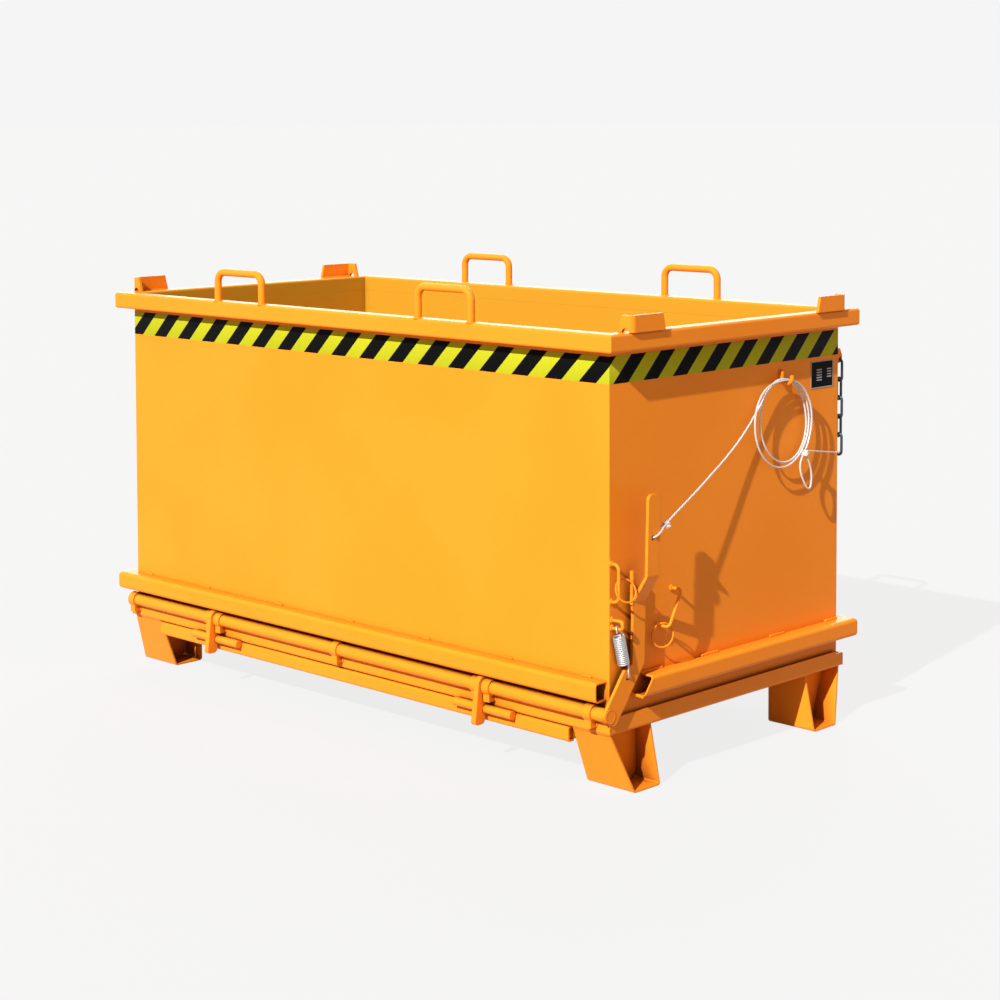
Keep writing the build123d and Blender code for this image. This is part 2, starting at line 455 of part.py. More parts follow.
def release_lever():
    middle = LEVER_X + LEVER_T / 2
    heel_left, heel_right = crank_point(CRANK_LEFT, CRANK_HEEL), crank_point(CRANK_RIGHT, CRANK_HEEL)
    shoulder = crank_point(CRANK_LEFT, CRANK_REACH)
    lap = LEVER_LOW + 4 * LEVER_T
    crank = outline(heel_left, shoulder, leaned(LEVER_Y0, LEVER_LOW + LEVER_T / 2), leaned(LEVER_Y0, lap),
                    leaned(LEVER_Y1, lap), leaned(LEVER_Y1, LEVER_LOW), heel_right)
    crank = rounded(crank, 11.0, heel_left)
    crank = rounded(crank, 15.0, heel_right)
    crank = rounded(crank, 7.0, shoulder)
    lever = along_x(crank, LEVER_X, LEVER_X + LEVER_T)
    face, low = LEVER_X + LEVER_T, lap - LEVER_T
    strip = bent_sheet(((face, low), (face, LEVER_KINK_LOW), (face + LEVER_JOG, LEVER_KINK_TOP),
                        (face + LEVER_JOG, LEVER_TOP)), LEVER_T, LEVER_T)
    tip = outline((LEVER_Y0, low), (LEVER_Y1, low), (LEVER_Y1, LEVER_TOP), (LEVER_Y0, LEVER_TOP))
    tip = rounded(tip, LEVER_TIP_R, (LEVER_Y1, LEVER_TOP), (LEVER_Y0, LEVER_TOP))
    far = face + LEVER_JOG + 1
    upper = along_y(strip, LEVER_Y0, LEVER_Y1) & along_x(tip, LEVER_X - 1, far)
    upper = upper + Pos(middle, LEVER_PIN_Y, LEVER_PIN_Z0 + LEVER_PIN_LEN / 2) * Cylinder(LEVER_PIN_R, LEVER_PIN_LEN)
    upper = upper + block(LEVER_X, face, LEVER_PIN_Y, LEVER_Y0 + 1, LEVER_PIN_Z0 - 2 * LEVER_T, LEVER_KINK_LOW)
    lever = lever + upper.rotate(Axis((0, LEVER_Y0, LEVER_LOW), (1, 0, 0)), -LEVER_LEAN)
    lever = lever - bar_x(LEVER_X - 1, far, SHAFT_Y, SHAFT_Z, SHAFT_R)
    lever = lever - bar_x(LEVER_X - 1, far, *ROPE_HOLE, ROPE_HOLE_R)
    save("release_lever", lever - bar_x(LEVER_X - 1, face + 1, *SPRING_HOLE, SPRING_HOLE_R))


def fittings():
    for name, x, y, low, high, bend in (("lock_hoop", HOOP_X, HOOP_Y, HOOP_Z0, HOOP_H, HOOP_BEND),
                                        ("spring_staple", STAPLE_X, STAPLE_Y, STAPLE_Z0, STAPLE_H, STAPLE_BEND)):
        save(name, rod(((WALL_X, y, low + high), (x, y, low + high), (x, y, low), (WALL_X, y, low)), FITTING_D, bend))
    save("ring_hook", rod(RING_HOOK, FITTING_D, RING_HOOK_BEND))
    out = ROPE_HOOK_X0 + ROPE_HOOK_W
    save("rope_hook", rod(((ROPE_HOOK_X0, ROPE_HOOK_Y, ROPE_HOOK_LOW + ROPE_HOOK_RISE),
                           (ROPE_HOOK_X0, ROPE_HOOK_Y, ROPE_HOOK_LOW), (out, ROPE_HOOK_Y, ROPE_HOOK_LOW),
                           (out, ROPE_HOOK_Y, ROPE_HOOK_LOW + ROPE_HOOK_TIP)), ROPE_HOOK_D, ROPE_HOOK_BEND))
    save("lock_ring", Plane(LOCK_RING_C, z_dir=LOCK_RING_N) * Torus(LOCK_RING_R, RING_WIRE / 2))
    save("hold_ring", Plane(HOLD_RING_C, z_dir=HOLD_RING_N) * Torus(HOLD_RING_R, RING_WIRE / 2))


def return_spring():
    low = Vector(SPRING_X, SPRING_HOLE[0], SPRING_HOLE[1] + 0.3 * SPRING_HOLE_R)
    pull = Vector(SPRING_X, STAPLE_Y, STAPLE_Z0) - low
    long = pull.length + FITTING_D / 2 + SPRING_WIRE / 2 + SPRING_SEAT
    place = Plane(low, x_dir=(1, 0, 0), z_dir=pull)
    turn = 2 * pi * SPRING_TURNS + SPRING_TWIST - 2 * SPRING_LEAD
    climb = (SPRING_TOP - SPRING_LOW) / turn
    quarters = 4 * SPRING_TURNS
    points, tangents = [], []
    for i in range(quarters + 1):
        phi = SPRING_LEAD + turn * i / quarters
        points.append((SPRING_R * cos(phi), SPRING_R * sin(phi), SPRING_LOW + climb * (phi - SPRING_LEAD)))
        tangents.append((-SPRING_R * sin(phi), SPRING_R * cos(phi), climb))
    r, stub = SPRING_HOOK_R, SPRING_WIRE
    edges = [Edge.make_line((-r, 0, r + stub), (-r, 0, r)),
             Edge.make_three_point_arc((-r, 0, r), (0, 0, 0), (r, 0, r)),
             Edge.make_line((r, 0, r), (r, 0, r + stub))]
    edges += biarc((r, 0, r + stub), (0, 0, 1), points[0], tangents[0])
    edges += biarc_run(points, tangents)
    a, b = r * cos(SPRING_TWIST), r * sin(SPRING_TWIST)
    edges += biarc(points[-1], tangents[-1], (a, b, long - r - stub), (0, 0, 1))
    edges += [Edge.make_line((a, b, long - r - stub), (a, b, long - r)),
              Edge.make_three_point_arc((a, b, long - r), (0, 0, long), (-a, -b, long - r)),
              Edge.make_line((-a, -b, long - r), (-a, -b, long - r - stub))]
    print("return spring least gap", round(least_self_gap(edges, SPRING_WIRE, 3 * SPRING_R), 2))
    save("return_spring", place * tube(edges, SPRING_WIRE, 6))


def coil_point(phi_deg):
    """Point and tangent of the coiled rope at one turn angle."""
    def point(angle):
        gone = (COIL_PHI0 - angle) / 360.0
        a, b = COIL_A + COIL_A_GROW * gone, COIL_B + COIL_B_GROW * gone
        phi = radians(angle)
        return Vector(COIL_X0 + COIL_ADVANCE * gone,
                      COIL_Y - COIL_SWING * gone * (1 - sin(phi)) + a * cos(phi) - COIL_LEAN * sin(phi),
                      COIL_TOP - b + b * sin(phi))
    small = 0.01
    return point(phi_deg), point(phi_deg - small) - point(phi_deg + small)


def rope():
    hole = Vector(LEVER_X + LEVER_T / 2 + LEVER_JOG, *ROPE_HOLE)
    start = Vector(COIL_START)
    along = (start - hole).normalized()
    side = (Vector(1, 0, 0) - along * along.X).normalized()

    def at(run, off):
        return hole + along * run + side * off

    start = at((start - hole).length, ROPE_SIDE)
    eye = [at(LIVE_END, ROPE_SIDE), at(NARROW_AT, ROPE_SIDE), at(EDGE_AT, 1.25 * ROPE_TURN),
           at(TURN_AT, ROPE_TURN), at(TURN_AT, -ROPE_TURN), at(EDGE_AT, -0.8 * ROPE_TURN),
           at(NARROW_AT, -ROPE_SIDE), at(TAIL_END, -ROPE_SIDE)]
    path = FilletPolyline(*eye, radius=(ROPE_EASE, ROPE_EASE, ROPE_TURN_BEND, ROPE_TURN_BEND, ROPE_EASE, ROPE_EASE))
    save("rope_eye", tube(path.edges(), ROPE_D, 8))
    save("rope_run", tube([Edge.make_line(at(LIVE_END, ROPE_SIDE), start)], ROPE_D, 8))
    print("rope run", round((start - at(LIVE_END, ROPE_SIDE)).length), "eye radii", ROPE_EASE, ROPE_TURN_BEND)

    clip = Plane(at(CLIP_AT, 0), x_dir=side, z_dir=along)
    bolt_y = ROPE_D / 2 + 0.4 + CLIP_BOLT_R
    bow = -(ROPE_SIDE + ROPE_D / 2 + 0.3 + CLIP_BOLT_R)
    seat = ROPE_SIDE + ROPE_D / 2 + 0.2
    tip = seat + CLIP_TAIL
    bolt = rod(((tip, -bolt_y, 0), (bow, -bolt_y, 0), (bow, bolt_y, 0), (tip, bolt_y, 0)),
               2 * CLIP_BOLT_R, bolt_y - 0.2)
    body = bolt + Pos(seat + CLIP_SADDLE_T / 2, 0, 0) * Box(CLIP_SADDLE_T, 2 * (bolt_y + 1.8 * CLIP_BOLT_R), CLIP_LEN)
    for sign in (-1, 1):
        nut = extrude(RegularPolygon(CLIP_NUT_R, 6), amount=CLIP_NUT_H)
        body = body + Pos(seat + CLIP_SADDLE_T, sign * bolt_y, 0) * Rot(0, 90, 0) * nut
    save("rope_clip", clip * body)

    points, tangents = [start], [start - at(LIVE_END, ROPE_SIDE)]
    steps = int((COIL_PHI0 - COIL_PHI1) / 30)
    for i in range(steps + 1):
        p, t = coil_point(COIL_PHI0 + (COIL_PHI1 - COIL_PHI0) * i / steps)
        points.append(p)
        tangents.append(t)
    last = points[-1]
    for dx, y, z, direction in EYE_ROUTE:
        points.append(Vector(last.X + dx, y, z))
        tangents.append(Vector(direction))
    edges = biarc_run(points, tangents)
    print("rope coil least gap", round(least_self_gap(edges, ROPE_D, 12 * ROPE_D), 2),
          "length", round(sum(e.length for e in edges)))
    save("rope_coil", tube(edges, ROPE_D, 8))

    place = Plane((last.X + FERRULE_SIDE + 0.2, FERRULE_Y, FERRULE_Z), x_dir=(1, 0, 0), z_dir=(0, 0.5, 0.866))
    section = SlotCenterToCenter(2 * FERRULE_SIDE, ROPE_D + 2 * FERRULE_SHELL)
    save("rope_ferrule", place * extrude(section, amount=FERRULE_LEN / 2, both=True))

    through = chain_centre(LINK_COUNT - 1) - LINK_INNER / 2 + TIE_LIFT
    outside = last.X + 2 * FERRULE_SIDE + ROPE_D / 2 + FERRULE_SHELL + TIE_D / 2 + TIE_SEAT
    tie = [Vector(outside, FERRULE_Y - 2, FERRULE_Z + 5), Vector(outside - 1.5, FERRULE_Y + 34, FERRULE_Z + 2),
           *(Vector(p) for p in TIE_ROUTE), Vector(WALL_X + 3.5, WALL_Y + 3.5, through + 1),
           Vector(EAR_X, EAR_Y, through), Vector(EAR_X - 6, EAR_Y + 24, through - 5)]
    bends = []
    for a, b, c in zip(tie, tie[1:], tie[2:]):
        half_turn = (b - a).get_angle(c - b) / 2
        bends.append(min(TIE_BEND, 0.45 * min((b - a).length, (c - b).length) / tan(radians(half_turn))))
    print("tie cord radii", [round(b, 1) for b in bends])
    path = FilletPolyline(*tie, radius=bends)
    save("tie_cord", tube(path.edges(), TIE_D, 8))


def chain_centre(index):
    """Height of the middle of one chain link."""
    first = EAR_Z - EAR_HOLE_R + LINK_WIRE / 2 + LINK_SEAT - (LINK_INNER + LINK_WIRE) / 2
    return first - index * (LINK_INNER - LINK_PLAY)


def chain():
    face = outline((WALL_Y, EAR_Z - EAR_DOWN), (EAR_Y, EAR_Z - EAR_TIP), (EAR_Y + EAR_TIP, EAR_Z - EAR_TIP / 2),
                   (EAR_Y + EAR_TIP, EAR_Z + EAR_TIP), (EAR_Y, EAR_Z + EAR_UP), (WALL_Y, EAR_Z + EAR_UP))
    face = face - Pos(EAR_Y, EAR_Z) * Circle(EAR_HOLE_R)
    save("chain_ear", along_x(face, EAR_X - EAR_T / 2, EAR_X + EAR_T / 2))
    half, reach = (LINK_WIDTH + LINK_WIRE) / 2, (LINK_INNER - LINK_WIDTH) / 2
    path = Wire([Edge.make_line((half, 0, 0), (half, 0, reach)),
                 Edge.make_three_point_arc((half, 0, reach), (0, 0, reach + half), (-half, 0, reach)),
                 Edge.make_line((-half, 0, reach), (-half, 0, -reach)),
                 Edge.make_three_point_arc((-half, 0, -reach), (0, 0, -reach - half), (half, 0, -reach)),
                 Edge.make_line((half, 0, -reach), (half, 0, 0))])
    link = sweep(Plane((half, 0, 0), z_dir=(0, 0, 1)) * Circle(LINK_WIRE / 2), path=path)
    links = [Pos(EAR_X, EAR_Y, chain_centre(i)) * Rot(0, 0, 90 * (i % 2)) * link for i in range(LINK_COUNT)]
    save("chain", *links)


def main():
    walls()
    top_rims()
    lower_rims()
    front_frame = bottom_frames()
    feet()
    lugs()
    crane_loops()
    bearings(front_frame)
    latch_shaft()
    flap()
    hinges()
    release_lever()
    fittings()
    return_spring()
    rope()
    chain()


main()
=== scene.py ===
"""Looks of a bottom-opening site container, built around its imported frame.

Everything is in metres, in the frame's own axes: +X is the end with the release
lever, -Y the side with the latch shaft, +Z up, and the feet stand on Z = 0.
Sizes written in millimetres become metres by MM or vec().
"""

import logging
from collections.abc import Iterator
from contextlib import contextmanager
from dataclasses import dataclass, field
from enum import Enum
from math import cos, pi, radians, sin

import bpy
from mathutils import Matrix, Vector


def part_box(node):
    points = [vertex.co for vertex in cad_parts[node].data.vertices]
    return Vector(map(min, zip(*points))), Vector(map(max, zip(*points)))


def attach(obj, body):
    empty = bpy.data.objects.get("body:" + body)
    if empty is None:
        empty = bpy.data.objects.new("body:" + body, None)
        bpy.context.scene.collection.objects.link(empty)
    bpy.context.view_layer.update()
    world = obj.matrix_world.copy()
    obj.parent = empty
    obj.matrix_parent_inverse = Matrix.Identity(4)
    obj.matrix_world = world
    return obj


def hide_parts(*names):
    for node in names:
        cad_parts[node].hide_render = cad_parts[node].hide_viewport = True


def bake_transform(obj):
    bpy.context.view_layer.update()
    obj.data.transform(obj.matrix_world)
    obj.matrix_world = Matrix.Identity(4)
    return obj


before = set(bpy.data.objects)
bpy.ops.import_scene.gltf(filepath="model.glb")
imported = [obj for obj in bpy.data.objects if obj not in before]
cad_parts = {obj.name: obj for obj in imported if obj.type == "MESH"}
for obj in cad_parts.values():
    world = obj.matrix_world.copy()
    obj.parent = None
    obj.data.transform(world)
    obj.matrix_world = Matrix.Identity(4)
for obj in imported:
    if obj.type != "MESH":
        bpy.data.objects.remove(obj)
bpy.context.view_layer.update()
LOG = logging.getLogger("container")
MM = 0.001
SIDES = (-1, 1)
ALONG_X = (1.0, 0.0, 0.0)
UPRIGHT = (0.0, 0.0, 1.0)

Span = tuple[float, float]
Point = tuple[float, float, float]
Colour = tuple[float, float, float, float]
Piece = bpy.types.Object
Material = bpy.types.Material
Node = bpy.types.Node
Outputs = bpy.types.NodeOutputs
Socket = bpy.types.NodeSocket


class Body(str, Enum):
    """Bodies of the frame that new pieces ride on."""

    CONTAINER = "container"
    FLAP = "flap"
    LATCH = "latch"


class Slot(str, Enum):
    """Material slots of the record."""

    PAINT = "yellow_paint"
    STEEL = "zinc_steel"
    ROPE = "white_rope"


def vec(*millimetres: float) -> Vector:
    """Point given in millimetres, as a vector in metres."""
    return Vector(millimetres) * MM


def rgb(red: float, green: float, blue: float) -> Colour:
    """Opaque colour."""
    return (red, green, blue, 1.0)


def grey(level: float) -> Colour:
    """Opaque neutral colour of one level."""
    return rgb(level, level, level)


class Bench:
    """Modelling moves that act on one selected object, as by hand."""

    @staticmethod
    def clear() -> None:
        """Deselect every object."""
        bpy.ops.object.select_all(action="DESELECT")

    @staticmethod
    def only(obj: Piece) -> Piece:
        """Select one object alone and make it active.

        Args:
            obj: Object to select.

        Returns:
            The same object.
        """
        Bench.clear()
        obj.select_set(True)
        bpy.context.view_layer.objects.active = obj
        return obj

    @staticmethod
    def named(name: str) -> Piece:
        """Name the object that was just added, and select it alone.

        Args:
            name: Name of the object and its mesh.

        Returns:
            The object.
        """
        obj = bpy.context.object
        obj.name = obj.data.name = name
        return Bench.only(obj)

    @staticmethod
    def settle(obj: Piece) -> Piece:
        """Move an object's place, turn and scale into its mesh.

        Args:
            obj: Object to work on.

        Returns:
            The same object.
        """
        Bench.only(obj)
        bpy.ops.object.transform_apply(location=True, rotation=True, scale=True)
        return obj

    @staticmethod
    @contextmanager
    def editing(obj: Piece) -> Iterator[None]:
        """Keep one mesh object in edit mode for a with block.

        Args:
            obj: Object to edit.

        Yields:
            Nothing.
        """
        Bench.only(obj)
        bpy.ops.object.mode_set(mode="EDIT")
        yield
        bpy.ops.object.mode_set(mode="OBJECT")

    @staticmethod
    def unpick(obj: Piece) -> None:
        """Deselect every face and edge of a mesh."""
        with Bench.editing(obj):
            bpy.ops.mesh.select_all(action="DESELECT")

    @staticmethod
    def box(name: str, low: Vector, high: Vector) -> Piece:
        """Add a box between two corners.

        Args:
            name: Name of the new object.
            low: Lowest corner.
            high: Highest corner.

        Returns:
            The box, with its place in its mesh.
        """
        Bench.clear()
        bpy.ops.mesh.primitive_cube_add(size=1.0, location=(low + high) / 2)
        obj = Bench.named(name)
        obj.scale = high - low
        return Bench.settle(obj)

    @staticmethod
    def bevelled(obj: Piece, width: float, segments: int = 2) -> Piece:
        """Round every edge of an object.

        Args:
            obj: Object to work on.
            width: Width of the bevel.
            segments: Faces across the bevel.

        Returns:
            The same object.
        """
        with Bench.editing(obj):
            bpy.ops.mesh.select_all(action="SELECT")
            bpy.ops.mesh.bevel(offset=width, segments=segments, affect="EDGES")
        return obj

    @staticmethod
    def clean(obj: Piece, smooth_angle: float = radians(40)) -> Piece:
        """Merge doubles, point the faces outwards and shade smooth up to an angle.

        Args:
            obj: Mesh object to clean.
            smooth_angle: Largest angle between faces that still shade as one.

        Returns:
            The same object.
        """
        with Bench.editing(obj):
            bpy.ops.mesh.select_all(action="SELECT")
            bpy.ops.mesh.remove_doubles(threshold=0.01 * MM)
            bpy.ops.mesh.normals_make_consistent(inside=False)
        bpy.ops.object.shade_smooth_by_angle(angle=smooth_angle)
        return obj

    @staticmethod
    def apply(obj: Piece, kind: str, **settings: object) -> Piece:
        """Add a modifier with its settings and apply it.

        Args:
            obj: Object to work on.
            kind: Blender's name of the modifier's type.
            **settings: Values set on the modifier.

        Returns:
            The same object.
        """
        Bench.only(obj)
        modifier = obj.modifiers.new(kind.title(), kind)
        for key, value in settings.items():
            setattr(modifier, key, value)
        bpy.ops.object.modifier_apply(modifier=modifier.name)
        return obj

    @staticmethod
    def joined(name: str, objects: list[Piece]) -> Piece:
        """Join several objects into one.

        Args:
            name: Name of the joined object.
            objects: Objects to join.

        Returns:
            The joined object.
        """
        Bench.only(objects[0])
        for obj in objects:
            obj.select_set(True)
        bpy.ops.object.join()
        return Bench.named(name)

    @staticmethod
    def dress(obj: Piece, material: Material) -> None:
        """Give an object one material."""
        obj.data.materials.clear()
        obj.data.materials.append(material)


class Line:
    """Smooth spline through a cord's route, and the tube along it."""

    def __init__(self, name: str, route: list[Vector], steps: int = 8) -> None:
        """Make the NURBS spline with the route as its control points.

        Args:
            name: Name of the curve.
            route: Control points.
            steps: Points of the line for each control point.
        """
        self.curve = bpy.data.curves.new(name, "CURVE")
        self.curve.dimensions = "3D"
        self.curve.twist_mode = "MINIMUM"
        spline = self.curve.splines.new("NURBS")
        spline.points.add(len(route) - 1)
        for point, place in zip(spline.points, route):
            point.co = (*place, 1.0)
        spline.order_u = 3
        spline.use_endpoint_u = True
        spline.resolution_u = steps
        self.obj = bpy.data.objects.new(name, self.curve)
        bpy.context.scene.collection.objects.link(self.obj)

    def points(self) -> list[Vector]:
        """Read the points along the spline, while it has no bevel.

        Returns:
            The points from start to end.
        """
        mesh = bpy.data.meshes.new_from_object(self.obj)
        found = [v.co.copy() for v in mesh.vertices]
        bpy.data.meshes.remove(mesh)
        return found

    def tube(self, diameter: float, sides: int = 12) -> Piece:
        """Make a round tube along the spline.

        Args:
            diameter: Outer diameter.
            sides: Faces round the tube.

        Returns:
            The tube as a closed mesh.
        """
        self.curve.bevel_depth = diameter / 2
        self.curve.bevel_resolution = sides // 4
        self.curve.use_fill_caps = True
        Bench.only(self.obj)
        bpy.ops.object.convert(target="MESH")
        tube = Bench.clean(bpy.context.object, radians(60))
        tube.data.name = tube.name
        return tube


class Graph:
    """Short way to add and link shader nodes in one tree."""

    def __init__(self, tree: bpy.types.NodeTree) -> None:
        """Keep the tree that nodes are added to."""
        self.tree = tree

    def put(self, socket: Socket, value: object) -> None:
        """Link an input from another socket, or set its value.

        Args:
            socket: Input to fill.
            value: A socket to link from, or a value to set.
        """
        if isinstance(value, Socket):
            self.tree.links.new(value, socket)
        else:
            socket.default_value = value

    def node(self, kind: str, *values: object, **settings: object) -> Node:
        """Add a node.

        Args:
            kind: Type name without the ShaderNode prefix.
            *values: Sockets or values for its inputs, in order.
            **settings: Properties set on the node.

        Returns:
            The new node.
        """
        prefix = "" if kind.startswith("Node") else "ShaderNode"
        made = self.tree.nodes.new(prefix + kind)
        for key, value in settings.items():
            setattr(made, key, value)
        for socket, value in zip(made.inputs, values):
            self.put(socket, value)
        return made

    def feed(self, node: Node, **inputs: object) -> Node:
        """Fill a node's inputs by name, with _ for a blank.

        Args:
            node: Node to feed.
            **inputs: A socket to link from, or a value to set.

        Returns:
            The same node.
        """
        for key, value in inputs.items():
            self.put(node.inputs[key.replace("_", " ")], value)
        return node

    def maths(self, operation: str, *values: object, clamp: bool = False) -> Socket:
        """Result of a maths node on sockets or numbers, which clamp keeps between 0 and 1."""
        return self.node("Math", *values, operation=operation, use_clamp=clamp).outputs[0]

    def ramp(self, value: Socket, span: Span, top: float = 1.0) -> Socket:
        """Map a value smoothly from its range to the range from 0 to a top.

        Args:
            value: Value to map.
            span: Start and end of its range.
            top: Result at the end.

        Returns:
            The mapped value.
        """
        node = self.node("MapRange", interpolation_type="SMOOTHSTEP")
        self.feed(node, Value=value, From_Min=span[0], From_Max=span[1], To_Min=0.0, To_Max=top)
        return node.outputs["Result"]

    def blend(self, share: object, first: object, second: object) -> Socket:
        """Mix two colours.

        Args:
            share: Share of the second colour, a socket or a number.
            first: First colour, a socket or a value.
            second: Second colour, a socket or a value.

        Returns:
            The mixed colour.
        """
        node = self.node("Mix", data_type="RGBA")
        for index, value in ((0, share), (6, first), (7, second)):
            self.put(node.inputs[index], value)
        return node.outputs[2]

    def place(self) -> Socket:
        """Coordinates of the object."""
        return self.node("TexCoord").outputs["Object"]

    def parts(self, vector: Socket) -> Outputs:
        """The X, Y and Z of a vector."""
        return self.node("SeparateXYZ", vector).outputs

    def noise(self, waves: object, detail: float) -> Socket:
        """Noise on the object's coordinates, by its waves in each metre and its octaves."""
        made = self.feed(self.node("TexNoise"), Vector=self.place(), Scale=waves, Detail=detail)
        return made.outputs["Fac"]


class Effects:
    """Shader node groups that several finishes share.

    A noise is given by its waves in each metre and its octaves.
    """

    groups: dict[str, bpy.types.NodeTree] = {}
    rays: int = 6
    slow_noise: Span = (2.3, 3.0)
    fine_noise: Span = (85.0, 4.0)
    fine_share: float = 0.25
    tone_span: Span = (0.36, 0.64)
    gloss_span: Span = (0.3, 0.7)
    peel_detail: float = 2.0
    peel_height: float = 0.2 * MM
    bend_span: Span = (0.99, 0.8)
    rub_noise: Span = (60.0, 6.0)
    rub_span: Span = (0.62, 0.42)
    # Range of occlusion that maps to the painted shade mask
    shut_span: Span = (0.66, 0.16)

    @classmethod
    def group(cls, name: str, inputs: dict[str, float | Colour],
              outputs: dict[str, str]) -> tuple[Graph, Outputs]:
        """Start a node group with named sockets.

        Args:
            name: Name of the group.
            inputs: Default number or colour by name.
            outputs: Color, Float or Vector by name.

        Returns:
            The graph of the new group and the values given to it.
        """
        tree = bpy.data.node_groups.new(name, "ShaderNodeTree")
        made = tree.interface.new_socket
        for key, value in inputs.items():
            kind = "Color" if isinstance(value, tuple) else "Float"
            made(name=key, in_out="INPUT", socket_type="NodeSocket" + kind).default_value = value
        for key, kind in outputs.items():
            made(name=key, in_out="OUTPUT", socket_type="NodeSocket" + kind)
        cls.groups[name] = tree
        graph = Graph(tree)
        return graph, graph.node("NodeGroupInput").outputs

    @classmethod
    def mottle(cls) -> None:
        """Slow and fine change of tone and gloss over a painted or coated surface."""
        graph, given = cls.group("Mottle", {"Light": grey(1.0), "Deep": grey(0.0), "Gloss Low": 0.3,
                                            "Gloss High": 0.4}, {"Color": "Color", "Roughness": "Float"})
        slow, fine = graph.noise(*cls.slow_noise), graph.noise(*cls.fine_noise)
        both = graph.maths("ADD", graph.maths("MULTIPLY", slow, 1.0 - cls.fine_share),
                           graph.maths("MULTIPLY", fine, cls.fine_share))
        low, high = cls.gloss_span
        gloss = graph.feed(graph.node("MapRange"), Value=fine, From_Min=low, From_Max=high,
                           To_Min=given["Gloss Low"], To_Max=given["Gloss High"])
        tone = graph.blend(graph.ramp(both, cls.tone_span), given["Light"], given["Deep"])
        graph.feed(graph.node("NodeGroupOutput"), Color=tone, Roughness=gloss.outputs["Result"])

    @classmethod
    def peel(cls) -> None:
        """Orange peel of sprayed paint, with edges rounded by the coat."""
        graph, given = cls.group("Peel", {"Scale": 300.0, "Depth": 0.1, "Edge": 1.5 * MM},
                                 {"Normal": "Vector"})
        edge = graph.feed(graph.node("Bevel", samples=cls.rays), Radius=given["Edge"])
        bump = graph.feed(graph.node("Bump"), Strength=given["Depth"], Distance=cls.peel_height,
                          Height=graph.noise(given["Scale"], cls.peel_detail), Normal=edge.outputs[0])
        graph.feed(graph.node("NodeGroupOutput"), Normal=bump.outputs[0])

    @classmethod
    def edge_wear(cls) -> None:
        """Mask that is 1 where an edge is rubbed, broken up by noise."""
        graph, given = cls.group("Edge Wear", {"Reach": 2.0 * MM, "Amount": 0.5}, {"Mask": "Float"})
        edge = graph.feed(graph.node("Bevel", samples=cls.rays), Radius=given["Reach"])
        face = graph.node("NewGeometry").outputs["Normal"]
        turn = graph.node("VectorMath", edge.outputs[0], face, operation="DOT_PRODUCT")
        bend = graph.ramp(turn.outputs["Value"], cls.bend_span)
        rub = graph.ramp(graph.noise(*cls.rub_noise), cls.rub_span)
        mask = graph.maths("MULTIPLY", graph.maths("MULTIPLY", bend, rub), given["Amount"], clamp=True)
        graph.feed(graph.node("NodeGroupOutput"), Mask=mask)

    @classmethod
    def painted_shade(cls, name: str, own: bool) -> None:
        """Mask that is 1 deep in corners and recesses, for painted shade.

        Args:
            name: Name of the group.
            own: Whether only the piece's own faces count as walls of a recess.
        """
        graph, given = cls.group(name, {"Reach": 60.0 * MM, "Amount": 0.5}, {"Mask": "Float"})
        recess = graph.node("AmbientOcclusion", samples=cls.rays, only_local=own)
        graph.feed(recess, Distance=given["Reach"])
        shut = graph.ramp(recess.outputs["AO"], cls.shut_span)
        mask = graph.maths("MULTIPLY", shut, given["Amount"], clamp=True)
        graph.feed(graph.node("NodeGroupOutput"), Mask=mask)

    @classmethod
    def inside(cls) -> None:
        """Mask that is 1 within an upright box about the origin."""
        graph, given = cls.group("Inside", {"Half Length": 1.0, "Half Width": 1.0}, {"Mask": "Float"})
        place = graph.parts(graph.place())
        along = graph.maths("LESS_THAN", graph.maths("ABSOLUTE", place["X"]), given["Half Length"])
        across = graph.maths("LESS_THAN", graph.maths("ABSOLUTE", place["Y"]), given["Half Width"])
        graph.feed(graph.node("NodeGroupOutput"), Mask=graph.maths("MULTIPLY", along, across))

    @classmethod
    def build(cls) -> None:
        """Make every group once."""
        cls.mottle()
        cls.peel()
        cls.edge_wear()
        # Painted shade: occlusion by all pieces, and by a piece's own faces alone
        cls.painted_shade("Painted Shade", False)
        cls.painted_shade("Painted Hollow Shade", True)
        cls.inside()


class Finish:
    """One material under construction, with its shader."""

    def __init__(self, name: str, **constants: object) -> None:
        """Start a material.

        Args:
            name: Name of the material.
            **constants: Values set on the shader's own sockets.
        """
        self.material = bpy.data.materials.new(name)
        self.material.use_nodes = True
        self.graph = Graph(self.material.node_tree)
        self.shader = self.material.node_tree.nodes["Principled BSDF"]
        self.graph.feed(self.shader, **constants)

    def effect(self, name: str, **inputs: object) -> Outputs:
        """Place a shared effect, by its name, with values or sockets for its inputs."""
        node = self.graph.node("Group", node_tree=Effects.groups[name])
        return self.graph.feed(node, **inputs).outputs

    def mottle(self, light: Colour, deep: Colour, gloss: Span) -> Outputs:
        """Place the mottle with its two tones and its range of roughness."""
        return self.effect("Mottle", Light=light, Deep=deep, Gloss_Low=gloss[0], Gloss_High=gloss[1])


